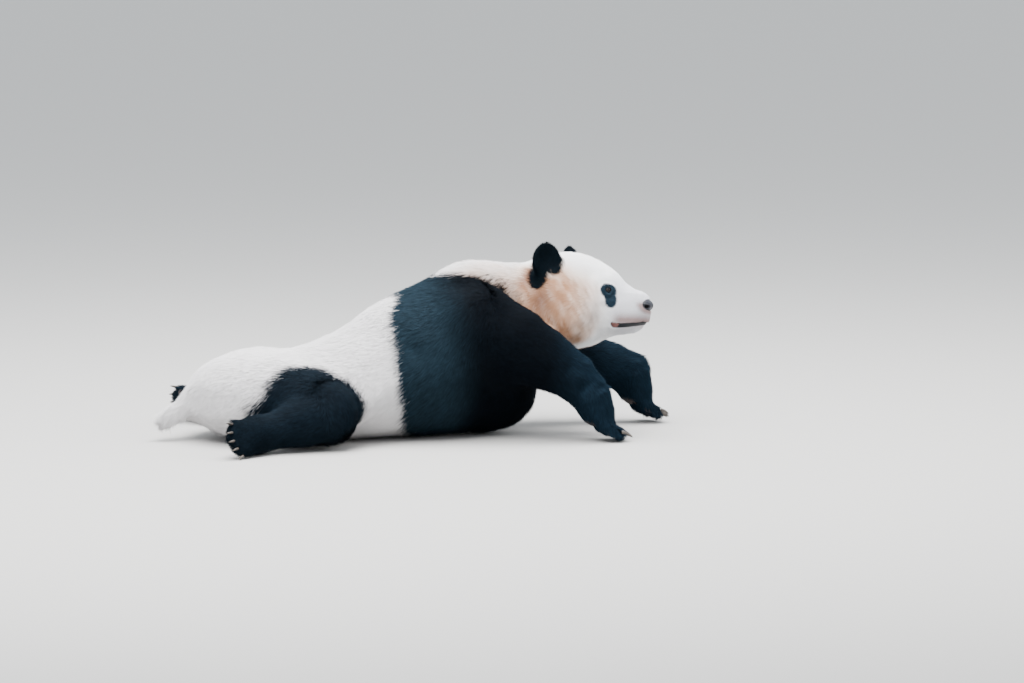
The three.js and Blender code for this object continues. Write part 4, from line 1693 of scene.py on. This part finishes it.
# ------------------------------------------------------------------------------ face
@dataclass
class Face:
    """Eyes, lids, nose and lips."""

    skin: Skin
    lid_gap: tuple[float, float, float] = (42.0, 25.0, 21.0)  # degrees: across, above, below
    slant: float = -12.0
    lid_profile: tuple[tuple[float, float], ...] = (  # share of the way out, rise over the eye
        (0.0, -0.0003),
        (0.0, 0.0005),
        (0.04, 0.0010),
        (0.14, 0.0013),
        (0.26, 0.0008),
        (0.34, 0.0014),
        (0.60, 0.0012),
        (1.0, -0.0004),
    )
    lid_steps: int = 48
    lid_back: float = 96.0  # degrees from the line of sight, where the lids end in the skin
    cornea: Pair = (0.86, 0.0009)  # cosine at its edge, and its rise
    lip_steps: int = 14
    lip_sunk: float = 0.0010
    corner_offset: Pair = (0.004, -0.0018)
    corner_radii: Point = (0.0112, 0.0096, 0.0034)
    nose_radii: Point = (0.0200, 0.0272, 0.0172)
    nostril: Point = (0.50, 0.83, -0.24)  # direction of a nostril from the nose's middle
    # sizes and depth of the near-black ellipsoids that sit in the nostril pits as painted shade
    nostril_radii: Point = (0.0080, 0.0054, 0.0026)
    nostril_depth: float = 0.72  # of the way out

    def build(self) -> None:
        """Makes every piece of the face."""
        lid = HideFinish(
            "lid_skin", linear(9, 15, 20), linear(18, 25, 32), 0.7, 900.0, depth=0.0002, specular=0.05
        )
        lip = HideFinish(
            "lip_skin", linear(12, 18, 22), linear(34, 32, 34), 0.5, 700.0, depth=0.0002, wet=0.06
        )
        corner = HideFinish(
            "mouth_corner", linear(104, 70, 66), linear(64, 42, 41), 0.5, 600.0, depth=0.0002, wet=0.06
        )
        lid_material = lid.build()
        for side in SIDES:
            self.eye(side)
            self.lids(side, lid_material)
        self.nose()
        self.lips(lip.build())
        self.corners(corner.build())

    def eye(self, side: str) -> None:
        """Eyeball with a raised cornea.

        Args:
            side: left or right.
        """
        head = self.skin.plan.head
        centre, sight = head.eyes[side], head.sight_of(side)
        turn = sight.to_track_quat("Z", "Y").to_matrix().to_4x4()
        edge, rise = self.cornea
        bm = sphere_bmesh(head.eye_radius, 40, 28, Matrix.Translation(centre) @ turn)
        for v in bm.verts:
            facing = (v.co - centre).normalized().dot(sight)
            v.co += sight * rise * max(0.0, (facing - edge) / (1.0 - edge))
        finish = EyeFinish(tuple(centre), tuple(sight), head.eye_radius)
        eye = piece_of(f"eyeball_{side}", mesh_from(bm, "eyeball"), finish.build())
        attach(eye, "root")
        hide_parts(f"eye_{side}")

    def lids(self, side: str, material: bpy.types.Material) -> None:
        """Upper and lower lid round one eye, as one rim that dips into the skin.

        Args:
            side: left or right.
            material: the lids' finish.
        """
        head = self.skin.plan.head
        centre, sight = head.eyes[side], head.sight_of(side)
        upright = (head.matrix.to_3x3() @ Vector((0, 0, 1))).normalized()
        upright = (upright - sight * upright.dot(sight)).normalized()
        forward = upright.cross(sight) * SIDES[side]
        across, above, below = (math.radians(v) for v in self.lid_gap)
        rings = []
        for spread, rise in self.lid_profile:
            ring = []
            for k in range(self.lid_steps):
                turn = 2 * math.pi * k / self.lid_steps
                tall = above if math.sin(turn) > 0 else below
                gap = 1.0 / math.hypot(math.cos(turn) / across, math.sin(turn) / tall)
                polar = gap + spread * (math.radians(self.lid_back) - gap)
                around = turn + math.radians(self.slant)
                out = forward * math.cos(around) + upright * math.sin(around)
                radius = head.eye_radius + rise
                ring.append(centre + radius * (sight * math.cos(polar) + out * math.sin(polar)))
            rings.append(ring)
        lids = piece_of(f"eyelids_{side}", loft(rings, "lids", False), material)
        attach(lids, "root")

    def nose(self) -> None:
        """Broad nose pad with two nostril pits and a groove down its middle, and a near-black ellipsoid in
        each pit as painted shade.
        """
        head = self.skin.plan.head
        bm = bmesh.new()
        bmesh.ops.create_icosphere(bm, subdivisions=6, radius=1.0)
        for v in bm.verts:
            v.co = head.matrix @ (head.nose_at + self.nose_point(v.co))
        hide = HideFinish(
            "nose_hide", linear(16, 19, 27), linear(42, 42, 50), 0.46, 620.0, wet=0.12, specular=0.3
        )
        nose = piece_of("nose_pad", mesh_from(bm, "nose"), hide.build())
        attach(nose, "root")
        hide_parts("nose")
        # painted shade: near-black matte ellipsoids set inside the nostril pits stand for their darkness
        dark = HideFinish("nostril", linear(3, 3, 5), linear(8, 7, 8), 0.7, 500.0, specular=0.05)
        pit_shades = bmesh.new()
        for sign in SIDES.values():
            way = Vector((self.nostril[0], sign * self.nostril[1], self.nostril[2]))
            inner = Vector(a * b for a, b in zip(way, self.nose_radii)) * self.nostril_depth
            turn = way.to_track_quat("Z", "Y").to_matrix().to_4x4()
            place = head.matrix @ Matrix.Translation(head.nose_at + inner) @ turn
            squeezed = place @ Matrix.Diagonal((*self.nostril_radii, 1.0))
            bmesh.ops.create_icosphere(pit_shades, subdivisions=3, radius=1.0, matrix=squeezed)
        nostril_shades = piece_of("nostril_shades", mesh_from(pit_shades, "nostril_shades"), dark.build())
        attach(nostril_shades, "root")

    def nose_point(self, on_ball: Vector) -> Vector:
        """Point of the nose pad from the nose's middle.

        Args:
            on_ball: the same point on a ball of radius 1.
        Returns:
            Its place in the head's frame.
        """
        x, y, z = on_ball
        side = math.copysign(1.0, y)
        front = min(max((x + 0.15) * 3.0, 0.0), 1.0)
        blunt = 1 - 0.18 * max(x, 0.0) * (y * y + z * z)
        groove = 0.0022 * math.exp(-((y * 9.0) ** 2)) * min(max(x * 3.0, 0.0), 1.0)
        wide = math.copysign(abs(y) ** 0.88, y) * (1 + 0.12 * z)
        radii = self.nose_radii
        at = Vector((x * radii[0] * blunt - groove, wide * radii[1], z * radii[2]))
        off = on_ball - Vector((self.nostril[0], side * self.nostril[1], self.nostril[2]))
        away = math.hypot(math.hypot(off.x, off.y) / 0.36, off.z / 0.28)
        slit_off = on_ball - Vector((0.10, side * 0.98, -0.04))
        slit = math.hypot(math.hypot(slit_off.x, slit_off.y) / 0.30, slit_off.z / 0.10)
        sink = 0.46 * math.exp(-(away**3.0)) + 0.10 * math.exp(-(slit**2))
        rim = 0.04 * math.exp(-(((away - 1.4) / 0.35) ** 2))
        return at * (1 - (sink - rim) * front)

    def lips(self, material: bpy.types.Material) -> None:
        """Dark lower lip and a thin upper one, lying on the muzzle along the mouth.

        Args:
            material: the lips' finish.
        """
        mouth = self.skin.mouth
        for name, line, height, thick, ends in (
            ("lip_lower", mouth.band, 0.0060, 0.0036, 0.3),
            ("lip_upper", mouth.trace(-0.0022), 0.0022, 0.0026, 0.4),
        ):
            one_side = [Vector(p) for p in line]
            whole = [Vector((p.x, -p.y, p.z)) for p in one_side] + one_side[-2::-1]
            rings = []
            for k, at in enumerate(whole):
                t = k / (len(whole) - 1)
                swell = ends + (1 - ends) * min(1.0, math.sin(math.pi * t) * 2.2)
                swell *= 1 - 0.45 * math.exp(-(((t - 0.5) / 0.13) ** 2))
                spot, normal = self.skin_at(at)
                ahead = whole[min(k + 1, len(whole) - 1)] - whole[max(k - 1, 0)]
                along = (mouth.head.matrix.to_3x3() @ ahead).normalized()
                upright = normal.cross(along).normalized()
                ring = []
                for j in range(self.lip_steps):
                    a = 2 * math.pi * j / self.lip_steps
                    out = math.sin(a) * thick * swell - self.lip_sunk
                    ring.append(spot + normal * out + upright * (math.cos(a) * height * swell))
                rings.append(ring)
            lip = piece_of(name, loft(rings, name, True), material)
            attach(lip, "root")

    def corners(self, material: bpy.types.Material) -> None:
        """Fleshy corners of the mouth.

        Args:
            material: their finish.
        """
        bm = bmesh.new()
        for sign in SIDES.values():
            corner = Vector(Mouth.guide[0])
            ahead, over = self.corner_offset
            spot, normal = self.skin_at(Vector((corner.x + ahead, sign * corner.y, corner.z + over)))
            turn = normal.to_track_quat("Z", "Y").to_matrix().to_4x4()
            flat = Matrix.Diagonal((*self.corner_radii, 1.0))
            place = Matrix.Translation(spot - normal * 0.0008) @ turn @ flat
            bmesh.ops.create_icosphere(bm, subdivisions=3, radius=1.0, matrix=place)
        corners = piece_of("mouth_corners", mesh_from(bm, "mouth_corners"), material)
        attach(corners, "root")

    def skin_at(self, local: Vector) -> tuple[Vector, Vector]:
        """Nearest place on the skin.

        Args:
            local: a point in the head's frame.
        Returns:
            The place and the skin's normal there, in the part's frame.
        """
        mouth = self.skin.mouth
        spot, normal, _, _ = mouth.tree.find_nearest(mouth.head.matrix @ local)
        return spot, normal


# ------------------------------------------------------------------------------ paws
@dataclass
class PawPieces:
    """Claws and pads, one piece of each to a paw."""

    skin: Skin
    claws: int = 5
    wear: float = 0.85  # of a claw's full length
    pad_rings: int = 6
    pad_steps: int = 28
    pad_rise: float = 0.0062
    pad_sunk: float = 0.0012
    pad_middle: float = 0.3  # of a ring's width, left for the cap
    below: float = 0.12  # from the sole to where it is felt for

    def build(self) -> None:
        """Makes the claws and pads of every paw."""
        horn = HornFinish().build()
        hide = HideFinish("pad_hide", linear(38, 34, 36), linear(64, 54, 52), 0.66, 420.0, 0.0006).build()
        tree = self.skin.tree(self.skin.points)
        for paw in self.skin.plan.paws:
            self.claw_piece(paw, horn)
            self.pad_piece(paw, tree, hide)

    def claw_piece(self, paw: Paw, material: bpy.types.Material) -> None:
        """Rounds the claws of a paw and wears them a little shorter.

        Args:
            paw: the paw.
            material: the horn.
        """
        nodes = [f"claw_{paw.name}_{i + 1}" for i in range(self.claws)]
        palm = paw.matrix @ Vector((paw.palm * 0.5, 0.0, 0.0))
        bm = bmesh.new()
        for node in nodes:
            known = len(bm.verts)
            bm.from_mesh(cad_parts[node].data)
            bm.verts.ensure_lookup_table()
            claw = bm.verts[known:]
            root = min((v.co.copy() for v in claw), key=lambda at: (at - palm).length)
            shrink = Matrix.Translation(root) @ Matrix.Scale(self.wear, 4) @ Matrix.Translation(-root)
            bmesh.ops.transform(bm, matrix=shrink, verts=claw)
        bmesh.ops.remove_doubles(bm, verts=bm.verts, dist=0.02 * MM)
        claws = piece_of(f"claws_{paw.name}", mesh_from(bm, "claws"), material)
        rounder = claws.modifiers.new("round", "SUBSURF")
        rounder.levels = 2
        rounder.render_levels = 2
        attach(claws, "root")
        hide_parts(*nodes)

    def pad_piece(self, paw: Paw, tree: BVHTree, material: bpy.types.Material) -> None:
        """Lays the bare pads on a paw's sole.

        Args:
            paw: the paw.
            tree: search tree of the skin.
            material: the pads' finish.
        """
        down = -(paw.matrix.to_3x3() @ Vector((0, 0, 1)))
        bm = bmesh.new()
        for x, y, long, wide in paw.pads():
            rings = []
            for i in range(self.pad_rings + 1):
                r = (i + self.pad_middle) / (self.pad_rings + self.pad_middle)
                rise = self.pad_rise * math.sqrt(max(0.0, 1 - r * r)) - self.pad_sunk
                ring = []
                for k in range(self.pad_steps):
                    a = 2 * math.pi * k / self.pad_steps
                    at = Vector((x + r * long * math.cos(a), y + r * wide * math.sin(a), -self.below))
                    start = paw.matrix @ at
                    spot, _, _, _ = tree.ray_cast(start, -down)
                    spot = spot if spot else tree.find_nearest(start)[0]
                    ring.append(spot + down * rise)
                rings.append(ring)
            part = loft(rings, "pad", True)
            bm.from_mesh(part)
            bpy.data.meshes.remove(part)
        for v in bm.verts:
            v.co.z = max(v.co.z, 0.0004)
        bmesh.ops.remove_doubles(bm, verts=bm.verts, dist=0.01 * MM)
        bmesh.ops.recalc_face_normals(bm, faces=bm.faces)
        pads = piece_of(f"pads_{paw.name}", mesh_from(bm, "pads"), material)
        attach(pads, "root")


# ------------------------------------------------------------------------------ studio
@dataclass
class Studio:
    """Floor, soft light and camera."""

    azimuth: float = math.radians(-12.0)
    elevation: float = math.radians(6.0)
    lens: float = 250.0
    sensor: float = 36.0
    picture_width: float = 1024.0
    pixels_per_metre: float = 370.0
    aim_right: float = 0.0865  # of the body's origin, across the picture
    aim_up: float = 0.2473
    floor_half: float = 80.0
    sky: tuple[float, float, float, float] = (0.88, 0.94, 1.0, 1.0)
    sky_strength: float = 1.65
    lit: Point = (0.1, 0.0, 0.2)  # where the lamps point
    far: float = 300.0
    lamps: tuple[tuple[str, Point, float, float], ...] = (  # name, place, size, power
        ("key", (-1.6, -2.6, 3.8), 3.2, 400.0),
        ("top", (0.2, 0.3, 4.4), 4.0, 580.0),
        ("front", (3.4, -2.4, 1.8), 2.6, 90.0),
    )

    def build(self, plan: Plan) -> None:
        """Builds the studio round the animal.

        Args:
            plan: the body's plan.
        """
        self.floor()
        self.lights()
        self.camera(plan)

    def floor(self) -> None:
        """Pale floor that runs out of sight."""
        bm = bmesh.new()
        bmesh.ops.create_grid(bm, x_segments=1, y_segments=1, size=self.floor_half)
        floor = piece_of("floor", mesh_from(bm, "floor"), FloorFinish().build())
        floor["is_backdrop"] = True

    def lights(self) -> None:
        """Large soft lights and an even sky."""
        world = bpy.data.worlds.new("studio")
        world.use_nodes = True
        background = world.node_tree.nodes["Background"]
        background.inputs["Color"].default_value = self.sky
        background.inputs["Strength"].default_value = self.sky_strength
        bpy.context.scene.world = world
        for name, place, size, power in self.lamps:
            light = bpy.data.lights.new(name, "AREA")
            light.shape = "DISK"
            light.size = size
            light.energy = power
            lamp = bpy.data.objects.new(name, light)
            lamp.location = place
            lamp.rotation_euler = (Vector(place) - Vector(self.lit)).to_track_quat("Z", "Y").to_euler()
            bpy.context.scene.collection.objects.link(lamp)

    def camera(self, plan: Plan) -> None:
        """Long lens from the animal's right.

        Args:
            plan: the body's plan.
        """
        a, e = self.azimuth, self.elevation
        back = Vector((math.sin(a) * math.cos(e), -math.cos(a) * math.cos(e), math.sin(e)))
        right = Vector((math.cos(a), math.sin(a), 0.0))
        aim = Vector(plan.origin) + right * self.aim_right + back.cross(right) * self.aim_up
        distance = self.picture_width / self.pixels_per_metre * self.lens / self.sensor
        data = bpy.data.cameras.new("camera")
        data.lens = self.lens
        data.sensor_width = self.sensor
        data.clip_end = self.far
        camera = bpy.data.objects.new("camera", data)
        camera.location = aim + back * distance
        camera.rotation_euler = back.to_track_quat("Z", "Y").to_euler()
        bpy.context.scene.collection.objects.link(camera)
        bpy.context.scene.camera = camera


def main() -> None:
    """Builds the model."""
    logging.basicConfig(level=logging.INFO, format="%(message)s")
    plan = Plan(Head())
    Studio().build(plan)
    skin = Skin(plan, Markings(plan))
    skin.build()
    LOG.info("skin: %d faces", len(skin.mesh.polygons))
    Coat(skin, Lay(plan)).build()
    Face(skin).build()
    PawPieces(skin).build()
    boxes = {"cad": CAD_BOX, "visual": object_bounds()}
    {name: [list(corner) for corner in box] for name, box in boxes.items()}


if __name__ == "__main__":
    main()
